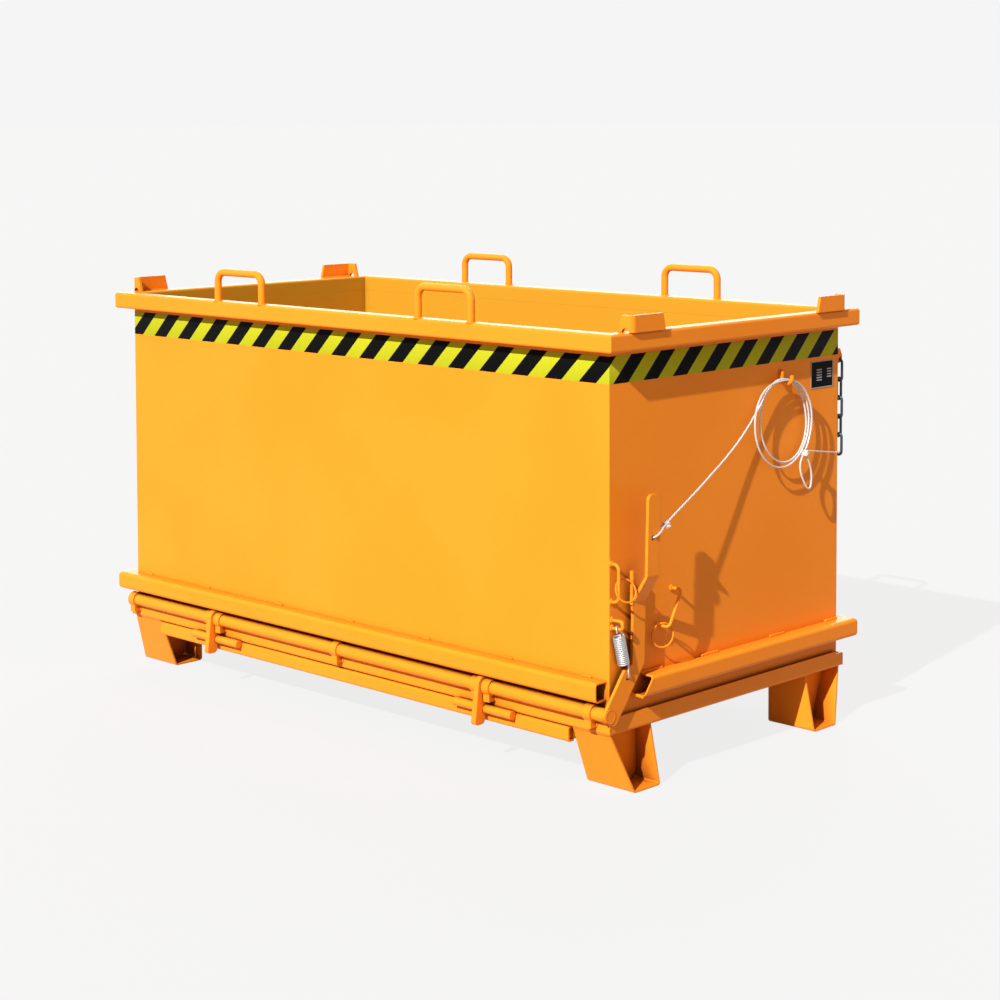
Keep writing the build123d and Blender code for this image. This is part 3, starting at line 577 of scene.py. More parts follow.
@dataclass(frozen=True)
class Enamel:
    """Sprayed enamel on steel."""

    name: str
    light: Colour
    deep: Colour
    worn: Colour = rgb(0.20, 0.12, 0.06)
    # Near-black colour painted as shade in corners, recesses and hollows
    soil_and_shade: Colour = rgb(0.07, 0.018, 0.003)
    # Paler, yellower tone painted on inside faces to offset their bounce light
    painted_inside_tone: Colour = rgb(0.57, 0.272, 0.020)
    tint: Colour = rgb(1.0, 0.5, 0.1)
    shine: float = 0.18
    gloss: Span = (0.30, 0.40)
    wear: float = 0.0
    wear_reach: float = 2.5 * MM
    # Amounts and reaches of the painted shade in corners and recesses, and in a piece's own hollows
    painted_shade: float = 0.0
    painted_shade_reach: float = 70.0 * MM
    painted_hollow_shade: float = 0.0
    painted_hollow_shade_reach: float = 140.0 * MM
    inside: Span | None = None
    edge: float = 1.6 * MM
    peel_waves: float = 260.0
    peel_depth: float = 0.07

    def material(self) -> Material:
        """Build the enamel, with a painted inside tone, painted shade in corners and recesses, and wear over
        it.

        Returns:
            The material.
        """
        finish = Finish(self.name, Specular_IOR_Level=self.shine, Specular_Tint=self.tint)
        tone = finish.mottle(self.light, self.deep, self.gloss)
        colour = tone["Color"]
        # Painted light: inside faces take a paler tone that offsets their bounce light
        if self.inside is not None:
            mask = finish.effect("Inside", Half_Length=self.inside[0], Half_Width=self.inside[1])["Mask"]
            colour = finish.graph.blend(mask, colour, self.painted_inside_tone)
        # Painted shade in corners, recesses and hollows, then edge wear
        for effect, amount, reach, over in (("Painted Shade", self.painted_shade, self.painted_shade_reach, self.soil_and_shade),
                                            ("Painted Hollow Shade", self.painted_hollow_shade, self.painted_hollow_shade_reach, self.soil_and_shade),
                                            ("Edge Wear", self.wear, self.wear_reach, self.worn)):
            if amount > 0:
                mask = finish.effect(effect, Reach=reach, Amount=amount)["Mask"]
                colour = finish.graph.blend(mask, colour, over)
        normal = finish.effect("Peel", Scale=self.peel_waves, Depth=self.peel_depth, Edge=self.edge)["Normal"]
        finish.graph.feed(finish.shader, Base_Color=colour, Roughness=tone["Roughness"], Normal=normal)
        return finish.material


@dataclass(frozen=True)
class PlatedSteel:
    """Bright or dull plated steel wire."""

    name: str
    light: Colour
    deep: Colour
    gloss: Span
    metal: float = 1.0
    edge: float = 0.4 * MM
    peel_waves: float = 900.0
    peel_depth: float = 0.12

    def material(self) -> Material:
        """Build the plated steel.

        Returns:
            The material.
        """
        finish = Finish(self.name, Metallic=self.metal)
        tone = finish.mottle(self.light, self.deep, self.gloss)
        normal = finish.effect("Peel", Scale=self.peel_waves, Depth=self.peel_depth, Edge=self.edge)["Normal"]
        finish.graph.feed(finish.shader, Base_Color=tone["Color"], Roughness=tone["Roughness"], Normal=normal)
        return finish.material


@dataclass(frozen=True)
class RopeSheath:
    """Clear sheath over a grey wire rope, with the lay showing through."""

    name: str
    sheath: Colour
    core: Colour
    lays: float
    strands: int = 3
    strand_span: Span = (-0.9, 0.4)
    soil_noise: Span = (18.0, 4.0)
    soil_span: Span = (0.35, 0.75)
    soil_most: float = 0.35
    relief: float = 0.25
    relief_height: float = 0.3 * MM

    def material(self) -> Material:
        """Build the sheath.

        Returns:
            The material.
        """
        finish = Finish(self.name, Roughness=0.28, Coat_Weight=0.6, Coat_Roughness=0.12)
        graph = finish.graph
        uv = graph.parts(graph.node("UVMap").outputs[0])
        turn = graph.maths("ADD", graph.maths("MULTIPLY", uv["X"], self.lays), uv["Y"])
        wave = graph.maths("SINE", graph.maths("MULTIPLY", turn, 2 * pi * self.strands))
        colour = graph.blend(graph.ramp(wave, self.strand_span), self.core, self.sheath)
        soil_and_shade = graph.ramp(graph.noise(*self.soil_noise), self.soil_span, self.soil_most)
        bump = graph.feed(graph.node("Bump"), Strength=self.relief, Distance=self.relief_height, Height=wave)
        graph.feed(finish.shader, Base_Color=graph.blend(soil_and_shade, colour, self.core), Normal=bump.outputs[0])
        return finish.material


@dataclass(frozen=True)
class StripedTape:
    """Warning tape with slanting stripes on vinyl."""

    name: str
    yellow: Colour = rgb(0.46, 0.475, 0.016)
    black: Colour = grey(0.003)
    faded: float = 0.9
    gloss: Span = (0.5, 0.62)
    pitch: float = 110.0 * MM
    phase: float = 560.0 * MM
    ahead: int = 20
    stripe_edge: Span = (0.494, 0.506)

    def material(self) -> Material:
        """Build the tape's vinyl, with stripes counted from far enough ahead to stay above 0.

        Returns:
            The material.
        """
        finish = Finish(self.name, Specular_IOR_Level=0.04)
        graph = finish.graph
        place = graph.parts(graph.place())
        along = graph.maths("SUBTRACT", graph.maths("ADD", place["X"], place["Y"]), place["Z"])
        along = graph.maths("ADD", along, self.phase + self.ahead * self.pitch)
        turn = graph.maths("FRACT", graph.maths("DIVIDE", along, self.pitch))
        tone = finish.mottle(self.yellow, rgb(*(self.faded * c for c in self.yellow[:3])), self.gloss)
        stripes = graph.blend(graph.ramp(turn, self.stripe_edge), tone["Color"], self.black)
        graph.feed(finish.shader, Base_Color=stripes, Roughness=tone["Roughness"])
        return finish.material


class Finishes:
    """The finishes of the container, each built once."""

    def __init__(self) -> None:
        """Build every material."""
        light, deep, white = rgb(0.95, 0.284, 0.020), rgb(0.93, 0.266, 0.016), grey(1.0)
        skin = 2 * MM
        half = tuple(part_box(name)[1][axis] - skin for name, axis in (("wall_right", 0), ("wall_back", 1)))
        # Walls get the painted inside tone; most enamels get painted shade in corners and recesses
        self.sheet = Enamel("wall_enamel", light, deep, painted_shade=0.7, inside=half).material()
        self.paint = Enamel("yellow_enamel", light, deep, painted_shade=0.8).material()
        self.rubbed = Enamel("rubbed_enamel", light, deep, wear=0.4, painted_shade=0.7).material()
        self.foot = Enamel("foot_enamel", light, deep, wear=0.4, painted_hollow_shade=0.9).material()
        self.bead = Enamel("weld_enamel", light, rgb(0.82, 0.213, 0.010), gloss=(0.34, 0.5),
                           edge=0.5 * MM).material()
        self.zinc = PlatedSteel("bright_zinc", rgb(0.80, 0.79, 0.77), rgb(0.62, 0.61, 0.60),
                                (0.30, 0.42), 0.7).material()
        self.wire = PlatedSteel("spring_wire", rgb(0.60, 0.59, 0.58), rgb(0.50, 0.49, 0.48),
                                (0.42, 0.52), 0.85).material()
        self.dull = PlatedSteel("dull_chain_zinc", rgb(0.070, 0.088, 0.098), rgb(0.035, 0.045, 0.052),
                                (0.35, 0.55)).material()
        self.rope = RopeSheath("rope_sheath", rgb(0.78, 0.76, 0.75), rgb(0.42, 0.40, 0.40), 110.0).material()
        self.twine = RopeSheath("tie_twine", rgb(0.82, 0.79, 0.76), rgb(0.50, 0.46, 0.42), 16.0).material()
        self.tape = StripedTape("warning_tape").material()
        self.plate_black = Enamel("plate_black", rgb(0.004, 0.005, 0.006), rgb(0.003, 0.003, 0.004),
                                  tint=white, shine=0.03, gloss=(0.4, 0.5), edge=0.3 * MM).material()
        self.plate_pale = Enamel("plate_pale", grey(0.40), grey(0.30), tint=white, shine=0.2,
                                 edge=0.2 * MM).material()

    def dress_frame(self) -> None:
        """Give every node of the frame its finish, by its name or by how its name starts."""
        by_name = dict.fromkeys(("rope_clip", "rope_ferrule", "hinge_pins"), self.zinc) | {"chain": self.dull}
        by_start = {("foot_",): self.foot,
                    ("hook_", "latch_bar", "release_lever", "lock_ring", "hold_ring", "ring_hook",
                     "lug_"): self.rubbed,
                    ("wall_", "rim_", "ledge_", "flap_plate"): self.sheet}
        for name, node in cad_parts.items():
            found = [finish for starts, finish in by_start.items() if name.startswith(starts)]
            Bench.dress(node, by_name.get(name, found[0] if found else self.paint))


@dataclass(frozen=True)
class PhotoCamera:
    """Camera at the photograph's place, turn and framing."""

    place: Point = (4.2399, -4.2924, 1.5886)
    yaw: float = 0.7824
    pitch: float = 0.0611
    roll: float = -0.0041
    focal_px: float = 2171.05
    centre_px: Span = (460.66, 257.03)
    picture_px: float = 1000.0
    sensor: float = 36.0
    far: float = 5000.0

    def build(self) -> None:
        """Add the camera and make it the scene's own."""
        data = bpy.data.cameras.new("photo_camera")
        data.sensor_width = self.sensor
        data.lens = self.focal_px * self.sensor / self.picture_px
        data.shift_x = 0.5 - self.centre_px[0] / self.picture_px
        data.shift_y = self.centre_px[1] / self.picture_px - 0.5
        data.clip_end = self.far
        obj = bpy.data.objects.new("photo_camera", data)
        bpy.context.scene.collection.objects.link(obj)
        level = cos(self.pitch)
        forward = Vector((-sin(self.yaw) * level, cos(self.yaw) * level, -sin(self.pitch)))
        right = Vector((cos(self.yaw), sin(self.yaw), 0.0))
        up = right.cross(forward)
        across = cos(self.roll) * right + sin(self.roll) * up
        upright = cos(self.roll) * up - sin(self.roll) * right
        turn = Matrix((across, upright, -forward)).transposed().to_4x4()
        obj.matrix_world = Matrix.Translation(self.place) @ turn
        bpy.context.scene.camera = obj


@dataclass(frozen=True)
class Studio:
    """Pale floor and background, fill light, a key lamp and a soft lamp behind."""

    pale: float = 0.913
    fill: Colour = rgb(0.34, 0.29, 0.24)
    key: float = 5.6
    key_from: Point = (0.1705, -0.796, 0.580)
    key_angle: float = radians(0.6)
    back: float = 1.7
    back_from: Point = (-0.6, 0.65, 0.47)
    back_angle: float = radians(50.0)
    floor_half: float = 2000.0
    floor_glow: float = 0.826
    floor_tone: float = 0.06
    floor_bounce: Colour = rgb(0.36, 0.30, 0.25)
    floor_drop: float = 0.3 * MM

    @staticmethod
    def seen(graph: Graph) -> Socket:
        """Tell the rays that show the background from those that light the object.

        Args:
            graph: Graph to add the nodes to.

        Returns:
            1 for camera, mirror and clear rays.
        """
        path = graph.node("LightPath").outputs
        shown = graph.maths("MAXIMUM", path["Is Camera Ray"], path["Is Glossy Ray"])
        return graph.maths("MAXIMUM", shown, path["Is Transmission Ray"])

    def world(self) -> None:
        """Pale background with a lower fill light."""
        world = bpy.data.worlds.new("studio")
        bpy.context.scene.world = world
        world.use_nodes = True
        graph = Graph(world.node_tree)
        world.node_tree.nodes.clear()
        fill = graph.feed(graph.node("Background"), Color=self.fill, Strength=1.0)
        pale = graph.feed(graph.node("Background"), Color=grey(self.pale), Strength=1.0)
        mix = graph.node("MixShader", self.seen(graph), fill.outputs[0], pale.outputs[0])
        graph.feed(graph.node("OutputWorld"), Surface=mix.outputs[0])

    def floor(self) -> None:
        """Wide floor that looks as pale as the background and takes a faint shadow."""
        Bench.clear()
        bpy.ops.mesh.primitive_plane_add(size=2 * self.floor_half, location=(0, 0, -self.floor_drop))
        floor = Bench.named("studio_floor")
        material = bpy.data.materials.new("studio_floor")
        material.use_nodes = True
        graph = Graph(material.node_tree)
        material.node_tree.nodes.clear()
        plain = graph.feed(graph.node("BsdfDiffuse"), Color=self.floor_bounce)
        tone = graph.feed(graph.node("BsdfDiffuse"), Color=grey(self.floor_tone))
        glow = graph.feed(graph.node("Emission"), Color=grey(self.floor_glow), Strength=1.0)
        shown = graph.node("AddShader", tone.outputs[0], glow.outputs[0])
        mix = graph.node("MixShader", self.seen(graph), plain.outputs[0], shown.outputs[0])
        graph.feed(graph.node("OutputMaterial"), Surface=mix.outputs[0])
        Bench.dress(floor, material)

    @staticmethod
    def lamp(name: str, energy: float, toward: Point, angle: float) -> None:
        """Add a distant lamp.

        Args:
            name: Name of the lamp.
            energy: Strength.
            toward: Direction from the object to the lamp.
            angle: Angle that the lamp spans, which softens its shadows.
        """
        data = bpy.data.lights.new(name, "SUN")
        data.energy = energy
        data.angle = angle
        obj = bpy.data.objects.new(name, data)
        bpy.context.scene.collection.objects.link(obj)
        obj.rotation_mode = "QUATERNION"
        obj.rotation_quaternion = Vector(toward).to_track_quat("Z", "Y")

    def build(self) -> None:
        """Build the background, the floor and the lamps."""
        self.world()
        self.floor()
        self.lamp("key", self.key, self.key_from, self.key_angle)
        self.lamp("back", self.back, self.back_from, self.back_angle)
        bpy.context.scene.view_settings.view_transform = "Standard"


@dataclass
class ReleaseRope:
    """Rope from the lever's hole through its clip to the coil on the hook."""

    finishes: Finishes
    diameter: float = 5.0 * MM
    hole: Vector = field(default_factory=lambda: vec(977.5, -373.0, 611.0))
    coil_start: Vector = field(default_factory=lambda: vec(935.0, 20.0, 796.0))
    coil_top: Point = (934.6, 206.0, 936.5)
    coil_advance: float = 5.8
    coil_turn: Span = (140.0, -748.0)
    coil_wide: Span = (87.6, 14.7)
    coil_high: Span = (104.0, 5.3)
    coil_swing: float = 10.0
    coil_lean: float = 14.8
    coil_steps: int = 29
    swell: float = 1.036
    nudges: tuple[tuple[int, float, float], ...] = (
        (22, -3.0, 0.0), (23, -8.0, 4.0), (24, -8.0, 6.0), (25, 3.0, -4.0))
    strand: float = 2.8
    clip_end: float = 74.0
    sag_at: float = 225.0
    sag: float = 4.0
    eye: tuple[Span, ...] = (
        (78, -2.8), (52, -2.8), (32, -6.4), (2, -8.0), (2, 8.0), (32, 10.0), (52, 2.8), (70, 2.8), (100, 2.8))
    end_eye: tuple[Point, ...] = (
        (0.4, 262.0, 729.0), (0.8, 252.5, 712.0), (1.3, 254.5, 690.0), (1.9, 266.0, 668.0),
        (2.4, 281.0, 646.5), (3.0, 293.5, 643.5), (3.8, 299.0, 661.0), (4.6, 298.0, 685.0),
        (5.5, 289.0, 708.0), (6.3, 277.5, 727.0), (6.3, 270.5, 740.0))

    def at(self, run: float, off: float) -> Vector:
        """Find a point along the straight rope.

        Args:
            run: Millimetres from the hole.
            off: Millimetres to the side of the middle between paired strands.

        Returns:
            The point.
        """
        along = (self.coil_start - self.hole).normalized()
        side = (Vector(ALONG_X) - along * along.x).normalized()
        return self.hole + along * run * MM + side * off * MM

    def coil_point(self, angle: float) -> Vector:
        """Find a point of the hung coil.

        Args:
            angle: Turn angle in degrees.

        Returns:
            The point.
        """
        gone, turn = (self.coil_turn[0] - angle) / 360.0, radians(angle)
        wide = self.swell * (self.coil_wide[0] + self.coil_wide[1] * gone)
        high = self.coil_high[0] + self.coil_high[1] * gone
        x, y, top = self.coil_top
        swung = self.coil_swing * gone * (1 - sin(turn)) + self.swell * self.coil_lean * sin(turn)
        return vec(x + self.coil_advance * gone, y - swung + wide * cos(turn),
                   top - high + self.swell * high * sin(turn))

    def route(self) -> list[Vector]:
        """List the control points.

        Returns:
            Points from the short end, round the lever's hole, to the end eye.
        """
        run = (self.coil_start - self.hole).length / MM
        points = [self.at(*place) for place in (*self.eye, (self.sag_at, self.strand), (run, self.strand))]
        points[-2].z -= self.sag * MM
        first, last = self.coil_turn
        step = (last - first) / self.coil_steps
        coil = [self.coil_point(first + step * i) for i in range(self.coil_steps + 1)]
        for index, dy, dz in self.nudges:
            coil[index] += vec(0, dy, dz)
        end = coil[-1].x / MM
        return points + coil + [vec(end + dx, y, z) for dx, y, z in self.end_eye]

    def build(self) -> Piece:
        """Make the rope between the lever and the coil.

        Returns:
            The rope.
        """
        line = Line("release_rope", self.route())
        points = line.points()
        rope = line.tube(self.diameter)
        Bench.dress(rope, self.finishes.rope)
        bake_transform(rope)
        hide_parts("rope_eye", "rope_run", "rope_coil")
        return rope


@dataclass
class TieWrap:
    """Turns of the tie cord round the rope's ferrule, with their knot."""

    finishes: Finishes
    centre: Point = (952.3, 270.2, 738.0)
    lean: float = radians(-30.0)
    half: Span = (8.4, 5.3)
    wire: float = 1.6
    turns: int = 4
    step: float = 3.2
    tilt: float = radians(8.0)
    knot: Point = (7.0, 5.0, 1.0)
    knot_half: Span = (2.0, 2.7)
    knot_leans: Span = (radians(60), radians(-50))

    def turn(self, place: Vector, tilt: float, half: Span) -> Piece:
        """Add one turn of cord.

        Args:
            place: Middle of the turn.
            tilt: Turn about the X axis.
            half: Half sizes of the oval, in millimetres.

        Returns:
            The turn, with its place in its mesh.
        """
        mean = sum(half) / 2
        Bench.clear()
        bpy.ops.mesh.primitive_torus_add(major_segments=32, minor_segments=10, major_radius=mean * MM,
                                         minor_radius=self.wire * MM, location=place, rotation=(tilt, 0, 0))
        ring = Bench.named("wrap_turn")
        ring.scale = (half[0] / mean, half[1] / mean, 1.0)
        return Bench.settle(ring)

    def build(self) -> Piece:
        """Make the turns and the knot.

        Returns:
            The wrap.
        """
        along = Matrix.Rotation(self.lean, 3, "X") @ Vector(UPRIGHT)
        pieces = []
        for index in range(self.turns):
            place = vec(*self.centre) + along * (index - (self.turns - 1) / 2) * self.step * MM
            pieces.append(self.turn(place, self.lean + self.tilt * (-1) ** index, self.half))
        knot = vec(*self.centre) + vec(*self.knot)
        pieces += [self.turn(knot, lean, self.knot_half) for lean in self.knot_leans]
        wrap = Bench.clean(Bench.joined("tie_wrap", pieces), radians(60))
        Bench.dress(wrap, self.finishes.twine)
        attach(wrap, Body.CONTAINER.value)
        return wrap


@dataclass
class TieCord:
    """Thin cord from the rope's ferrule to the chain."""

    finishes: Finishes
    diameter: float = 4.0 * MM
    route: tuple[Point, ...] = (
        (961.5, 268.2, 746.0), (960.0, 304.2, 741.5), (944.0, 366.0, 731.6), (932.0, 432.0, 721.5),
        (923.5, 463.5, 716.8), (912.0, 477.0, 716.6), (906.0, 501.0, 712.6))

    def build(self) -> Piece:
        """Make the cord and its wrap.

        Returns:
            The cord.
        """
        wrap = TieWrap(self.finishes).build()
        line = Line("tie_cord_twine", [vec(*p) for p in self.route])
        points = line.points()
        cord = line.tube(self.diameter)
        Bench.dress(cord, self.finishes.twine)
        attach(cord, Body.CONTAINER.value)
        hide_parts("tie_cord")
        return cord


@dataclass
class ReturnSpring:
    """Pull spring between the lever's crank and the staple on the wall."""

    finishes: Finishes
    radius: float = 13.0
    wire: float = 4.0
    hook: float = 9.0
    hook_swell: float = 1.08
    stub: float = 4.0
    turns: int = 15
    lead: float = radians(70.0)
    twist: float = radians(120.0)
    coil: Span = (35.0, 108.0)
    points_per_turn: int = 16
    low: Point = (937.5, -419.0, 277.5)
    top: Point = (937.5, -452.0, 400.0)
    seat: float = 6.3

    def place(self) -> Matrix:
        """Find how the spring's own axes, in millimetres, lie in the frame.

        Returns:
            The matrix from the spring to the frame.
        """
        up = (vec(*self.top) - vec(*self.low)).normalized()
        across = Vector(ALONG_X)
        turn = Matrix((across, up.cross(across), up)).transposed().to_4x4()
        return Matrix.Translation(vec(*self.low)) @ turn @ Matrix.Scale(MM, 4)

    def bow(self, level: float, sign: float, turn: float) -> list[Vector]:
        """List the control points of a hook at one end of the spring.

        Args:
            level: Height of the hook's middle.
            sign: -1 for the lower hook, 1 for the upper one.
            turn: Turn of the hook about the spring's axis.

        Returns:
            Points from the leg on the turn's far side to the leg on its own side.
        """
        r = self.hook
        angles = [radians(180 - 30 * step) for step in range(1, 6)]
        flat = [(-r, -sign * self.stub), (-r, 0.0)]
        flat += [(self.hook_swell * r * cos(a), sign * self.hook_swell * r * sin(a)) for a in angles]
        flat += [(r, 0.0), (r, -sign * self.stub)]
        return [Vector((out * cos(turn), out * sin(turn), level + rise)) for out, rise in flat]

    def route(self) -> list[Vector]:
        """List the control points of the wire, wider than its radius, which the spline cuts inside.

        Returns:
            Points from one hook through the coil to the other.
        """
        long = (Vector(self.top) - Vector(self.low)).length + self.seat
        radius = self.radius / (0.75 + 0.25 * cos(2 * pi / self.points_per_turn))
        turn = 2 * pi * self.turns + self.twist - 2 * self.lead
        count = int(turn / (2 * pi) * self.points_per_turn)
        points = self.bow(self.hook, -1.0, 0.0)
        for i in range(count + 1):
            phi = self.lead + turn * i / count
            rise = self.coil[0] + (self.coil[1] - self.coil[0]) * i / count
            points.append(Vector((radius * cos(phi), radius * sin(phi), rise)))
        points += reversed(self.bow(long - self.hook, 1.0, self.twist))
        place = self.place()
        return [place @ p for p in points]

    def build(self) -> Piece:
        """Make the spring between the latch and the wall.

        Returns:
            The spring.
        """
        spring = Line("pull_spring", self.route(), steps=3).tube(self.wire * MM)
        Bench.dress(spring, self.finishes.wire)
        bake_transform(spring)
        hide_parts("return_spring")
        return spring


@dataclass
class WarningTape:
    """Striped tape below the rim, round the near corner."""

    finishes: Finishes
    low: float = 978.0 * MM
    high: float = 1044.0 * MM
    thickness: float = 0.4 * MM
    edge: float = 0.15 * MM

    def build(self) -> Piece:
        """Make the tape on the latch side and the lever end.

        Returns:
            The tape.
        """
        front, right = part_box("wall_front"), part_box("wall_right")
        x0, x1, y0, y1 = front[0].x, right[1].x, front[0].y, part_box("wall_back")[1].y
        Bench.clear()
        bpy.ops.mesh.primitive_plane_add(size=1.0)
        tape = Bench.named("corner_tape")
        tape.rotation_euler = (pi / 2, 0, 0)
        tape.scale = (x1 - x0, self.high - self.low, 1)
        tape.location = ((x0 + x1) / 2, y0, (self.low + self.high) / 2)
        Bench.unpick(Bench.settle(tape))
        for edge in tape.data.edges:
            edge.select = all(tape.data.vertices[v].co.x > x1 - MM for v in edge.vertices)
        with Bench.editing(tape):
            bpy.ops.mesh.select_mode(type="EDGE")
            bpy.ops.mesh.extrude_region_move(TRANSFORM_OT_translate={"value": (0, y1 - y0, 0)})
            bpy.ops.mesh.select_all(action="SELECT")
            bpy.ops.mesh.normals_make_consistent(inside=False)
        outward = tape.data.polygons[0].normal.y < 0
        Bench.apply(tape, "SOLIDIFY", thickness=self.thickness, offset=1.0 if outward else -1.0)
        Bench.apply(tape, "BEVEL", width=self.edge, segments=2, limit_method="ANGLE")
        Bench.clean(tape, radians(30))
        Bench.dress(tape, self.finishes.tape)
        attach(tape, Body.CONTAINER.value)
        return tape


@dataclass
class TypePlate:
    """Bare black plate with empty fields on the lever end."""

    finishes: Finishes
    y: Span = (339.0, 437.0)
    z: Span = (896.0, 967.0)
    thickness: float = 1.2
    edge: float = 0.4
    border: float = 2.0
    recess: float = 0.3
    columns: tuple[tuple[float, float, int], ...] = ((25.0, 48.0, 5), (71.0, 91.0, 4))
    row_top: float = 46.0
    row_step: float = 6.8
    row_height: float = 3.4
    row_out: Span = (0.7, 1.0)
    row_edge: float = 0.1

    def back(self, wall: Vector) -> Piece:
        """Make the plate with a pale rim round its black middle.

        Args:
            wall: Point of the wall's outer face at Y = Z = 0.

        Returns:
            The plate.
        """
        plate = Bench.box("type_plate", wall + vec(0, self.y[0], self.z[0]),
                          wall + vec(self.thickness, self.y[1], self.z[1]))
        Bench.bevelled(plate, self.edge * MM)
        for material in (self.finishes.plate_pale, self.finishes.plate_black):
            plate.data.materials.append(material)
        Bench.unpick(plate)
        max(plate.data.polygons, key=lambda p: p.area * (p.normal.x > 0.9)).select = True
        with Bench.editing(plate):
            bpy.ops.mesh.select_mode(type="FACE")
            bpy.ops.mesh.inset(thickness=self.border * MM, depth=-self.recess * MM)
            plate.active_material_index = 1
            bpy.ops.object.material_slot_assign()
        return plate

    def build(self) -> Piece:
        """Make the plate with its blank fields.

        Returns:
            The plate.
        """
        wall = Vector((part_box("wall_right")[1].x, 0, 0))
        pieces = [self.back(wall)]
        for start, end, rows in self.columns:
            for row in range(rows):
                z = self.z[0] + self.row_top - row * self.row_step
                low = wall + vec(self.row_out[0], self.y[0] + start, z)
                high = wall + vec(self.row_out[1], self.y[0] + end, z + self.row_height)
                bar = Bench.bevelled(Bench.box("blank_field", low, high), self.row_edge * MM, 1)
                Bench.dress(bar, self.finishes.plate_pale)
                pieces.append(bar)
        plate = Bench.joined("type_plate", pieces)
        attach(plate, Body.CONTAINER.value)
        return plate


@dataclass
class FlapFlanges:
    """Turned-down edges along the two ends of the flap."""

    finishes: Finishes
    thick: float = 5.0 * MM
    inset: float = 4.0 * MM
    low: float = 108.0 * MM
    top: float = 139.0 * MM
    y: Span = (-468.0 * MM, 430.0 * MM)
    slope: float = 18.0 * MM
    edge: float = 0.8 * MM

    def flange(self, outer: float, inner: float) -> Piece:
        """Add one flange, with its back end sloping.

        Args:
            outer: X of its outer face.
            inner: X of its inner face.

        Returns:
            The flange.
        """
        low = Vector((min(outer, inner), self.y[0], self.low))
        high = Vector((max(outer, inner), self.y[1], self.top))
        plate = Bench.box("flap_flange", low, high)
        for vertex in plate.data.vertices:
            if vertex.co.z < self.low + MM and vertex.co.y > 0:
                vertex.co.y -= self.slope
        return Bench.bevelled(plate, self.edge)

    def build(self) -> Piece:
        """Make both flanges.

        Returns:
            The flanges as one piece.
        """
        low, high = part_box("flap_plate")
        sides = ((high.x - self.inset, -1), (low.x + self.inset, 1))
        plates = [self.flange(outer, outer + inward * self.thick) for outer, inward in sides]
        flanges = Bench.clean(Bench.joined("flap_end_flanges", plates))
        Bench.dress(flanges, self.finishes.paint)
        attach(flanges, Body.FLAP.value)
        return flanges


@dataclass(frozen=True)
class Seam:
    """Straight run of weld in millimetres, copied across each axis that mirror names."""

    start: Point
    end: Point
    size: float
    mirror: str = ""


@dataclass(frozen=True)
class Collar:
    """Ring of weld round a bar in millimetres, copied across each axis that mirror names."""

    centre: Point
    axis: Point
    radius: float
    size: float
    mirror: str = ""


@dataclass
class WeldBeads:
    """Weld beads of one body: overlapping drops, fused and roughened."""

    finishes: Finishes
    body: Body
    seams: tuple[Seam, ...]
    collars: tuple[Collar, ...]
    pitch: float = 1.05
    voxel: float = 1.2 * MM
    lump: float = 1.1 * MM
    lump_size: float = 4 * MM

    @staticmethod
    def flips(bead: Seam | Collar) -> list[Vector]:
        """Factors that copy a bead across its mirror axes."""
        x_sides, y_sides = (SIDES if axis in bead.mirror else (1,) for axis in "xy")
        return [Vector((x, y, 1)) for x in x_sides for y in y_sides]

    @staticmethod
    def drop(place: Vector, size: float) -> Piece:
        """Add one drop of weld metal.

        Args:
            place: Its middle.
            size: Its radius in millimetres.

        Returns:
            The drop, with its place in its mesh.
        """
        Bench.clear()
        bpy.ops.mesh.primitive_uv_sphere_add(segments=8, ring_count=6, radius=size * MM, location=place)
        return Bench.settle(Bench.named("weld_drop"))

    def run(self, seam: Seam, flip: Vector) -> Piece:
        """Lay a row of drops along a seam.

        Args:
            seam: Where the row lies.
            flip: Factor of the copy.

        Returns:
            The drops.
        """
        start, end = vec(*seam.start) * flip, vec(*seam.end) * flip
        count = max(2, round((end - start).length / (self.pitch * seam.size * MM)))
        drop = self.drop(start, seam.size)
        return Bench.apply(drop, "ARRAY", count=count, use_relative_offset=False, use_constant_offset=True,
                           constant_offset_displace=(end - start) / (count - 1))

    def ring(self, collar: Collar, flip: Vector) -> Piece:
        """Lay a ring of drops round a bar.

        Args:
            collar: Where the ring lies.
            flip: Factor of the copy.

        Returns:
            The drops.
        """
        centre, axis = vec(*collar.centre) * flip, Vector(collar.axis)
        count = round(2 * pi * collar.radius / (self.pitch * collar.size))
        drop = self.drop(centre + axis.orthogonal().normalized() * collar.radius * MM, collar.size)
        with Bench.editing(drop):
            bpy.ops.mesh.select_all(action="SELECT")
            bpy.ops.mesh.spin(steps=count - 1, dupli=True, angle=2 * pi * (count - 1) / count, center=centre,
                              axis=axis)
        return drop

    def build(self) -> Piece:
        """Make every bead of the body as one piece.

        Returns:
            The beads.
        """
        drops = [self.run(seam, flip) for seam in self.seams for flip in self.flips(seam)]
        drops += [self.ring(collar, flip) for collar in self.collars for flip in self.flips(collar)]
        beads = Bench.joined(f"weld_beads_{self.body.value}", drops)
        lumps = bpy.data.textures.new("weld_lumps", "CLOUDS")
        lumps.noise_scale = self.lump_size
        Bench.apply(beads, "DISPLACE", texture=lumps, texture_coords="LOCAL", strength=self.lump)
        Bench.apply(beads, "REMESH", mode="VOXEL", voxel_size=self.voxel)
        Bench.apply(beads, "SMOOTH", factor=0.5, iterations=2)
        Bench.clean(beads, radians(70))
        Bench.dress(beads, self.finishes.bead)
        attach(beads, self.body.value)
        return beads


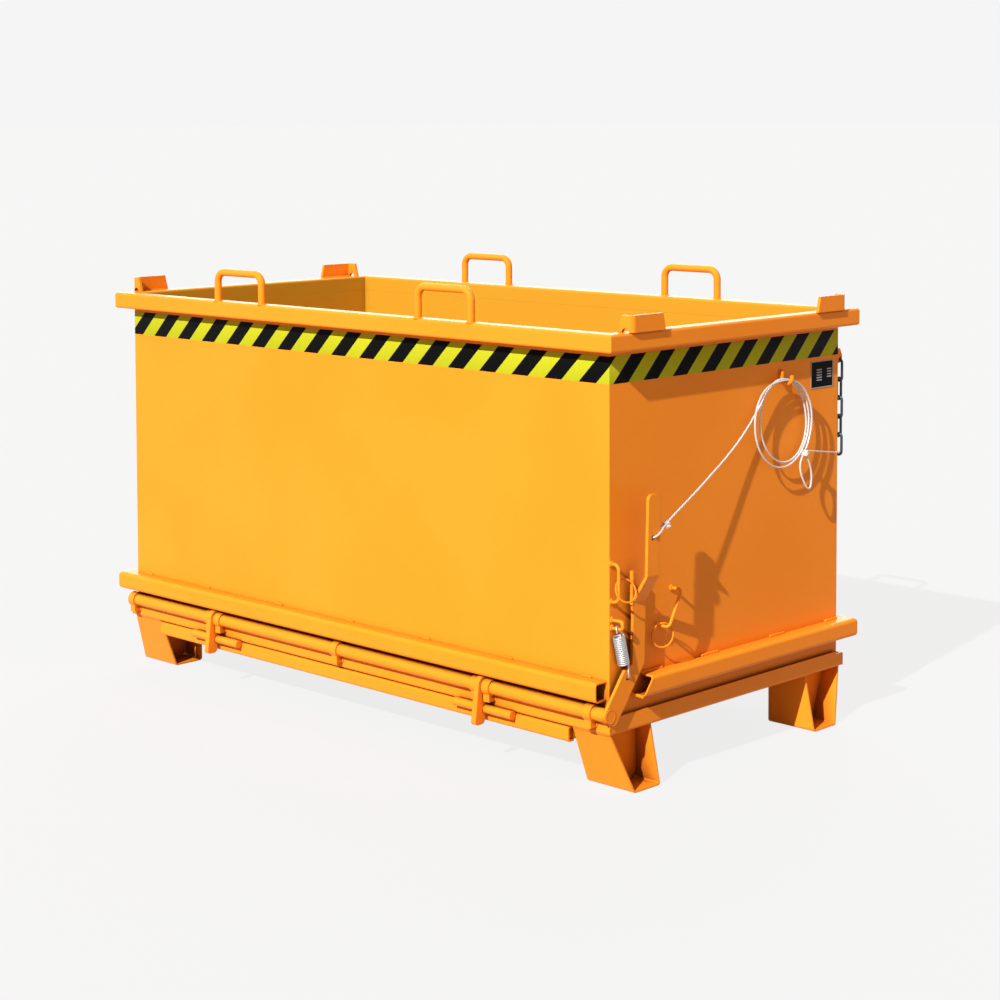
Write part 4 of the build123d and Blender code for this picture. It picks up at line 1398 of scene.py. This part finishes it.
@dataclass(frozen=True)
class Welds:
    """Where the weld beads of each body lie, in millimetres."""

    fixed: tuple[Seam, ...] = (
        # Short runs on top of the lower rim channels, and one at the channel that is cut short.
        *(Seam((922.0, low, 274.0), (922.0, high, 274.0), 4.2, "x")
          for low, high in ((-345, -270), (-116, -52), (167, 223), (408, 455))),
        *(Seam((middle - 13, 462.0, 274.0), (middle + 13, 462.0, 274.0), 3.6, "y")
          for middle in (-862, -595, -279, 11, 301, 591, 850)),
        Seam((921.0, -381.0, 229.0), (955.0, -380.0, 226.5), 4.4),
        # The frame's corners, the feet and the sides of the shaft's bearings where no hook is in the way.
        Seam((932.0, 472.0, 147.0), (932.0, 472.0, 177.0), 1.8, "xy"),
        Seam((812.0, 465.5, 143.5), (922.0, 465.5, 143.5), 2.2, "xy"),
        *(Seam((x, -473.0, 163.0), (x, -473.0, 177.0), 2.2)
          for x in (-912.5, -891.5, -558.5, -495.5, -25.5, -4.5, 495.5, 558.5, 871.5, 892.5)),
        # The stacking lugs on the rim.
        Seam((957.0, 318.0, 1100.0), (957.0, 424.0, 1100.0), 3.0, "xy"),
        Seam((928.0, 426.0, 1100.0), (940.0, 426.0, 1100.0), 2.6, "xy"),
        # The chain's ear and the rope hook on the walls.
        *(Seam((x, 461.0, 956.0), (x, 461.0, 988.0), 2.2) for x in (908.0, 916.0)),
        *(Seam((921.0, y, 932.0), (921.0, y, 952.0), 2.2) for y in (200.5, 211.5)),
        Seam((922.5, 203.0, 956.0), (922.5, 209.0, 956.0), 3.0))
    fixed_rings: tuple[Collar, ...] = (
        # The crane loops, and the bent rods on the lever's end.
        *(Collar((x, 489.0, 1099.5), UPRIGHT, 10.8, 3.0, "y") for x in (-494.0, -306.0, 306.0, 494.0)),
        *(Collar((921.5, y, z), ALONG_X, 5.2, 3.3)
          for y, z in ((-454.0, 463.0), (-454.0, 553.0), (-452.0, 400.0), (-452.0, 419.0), (-232.0, 462.0))))
    shaft_rings: tuple[Collar, ...] = (Collar((931.5, -481.2, 196.0), ALONG_X, 17.4, 2.6),
                                       Collar((941.6, -481.2, 196.0), ALONG_X, 16.4, 1.7))
    bars: tuple[Seam, ...] = tuple(Seam((x, -474.0, 130.5), (x + 32.0, -474.0, 130.5), 2.4)
                                   for x in (-624.0, -462.0, 430.0, 592.0))

    def build(self, finishes: Finishes) -> list[Piece]:
        """Make the beads of the container, the latch and the flap.

        Args:
            finishes: The finishes that dress the beads.

        Returns:
            One piece for each body.
        """
        return [WeldBeads(finishes, Body.CONTAINER, self.fixed, self.fixed_rings).build(),
                WeldBeads(finishes, Body.LATCH, (), self.shaft_rings).build(),
                WeldBeads(finishes, Body.FLAP, self.bars, ()).build()]


def main() -> None:
    """Build the camera, the cords, the other pieces and the studio in order."""
    logging.basicConfig(level=logging.INFO, format="%(name)s: %(message)s")
    PhotoCamera().build()
    Effects.build()
    finishes = Finishes()
    finishes.dress_frame()
    makers = (ReleaseRope, TieCord, ReturnSpring, WarningTape, TypePlate, FlapFlanges)
    for piece in [maker(finishes).build() for maker in makers] + Welds().build(finishes):
        LOG.info("%s has %d faces", piece.name, len(piece.data.polygons))
    Studio().build()


if __name__ == "__main__":
    main()
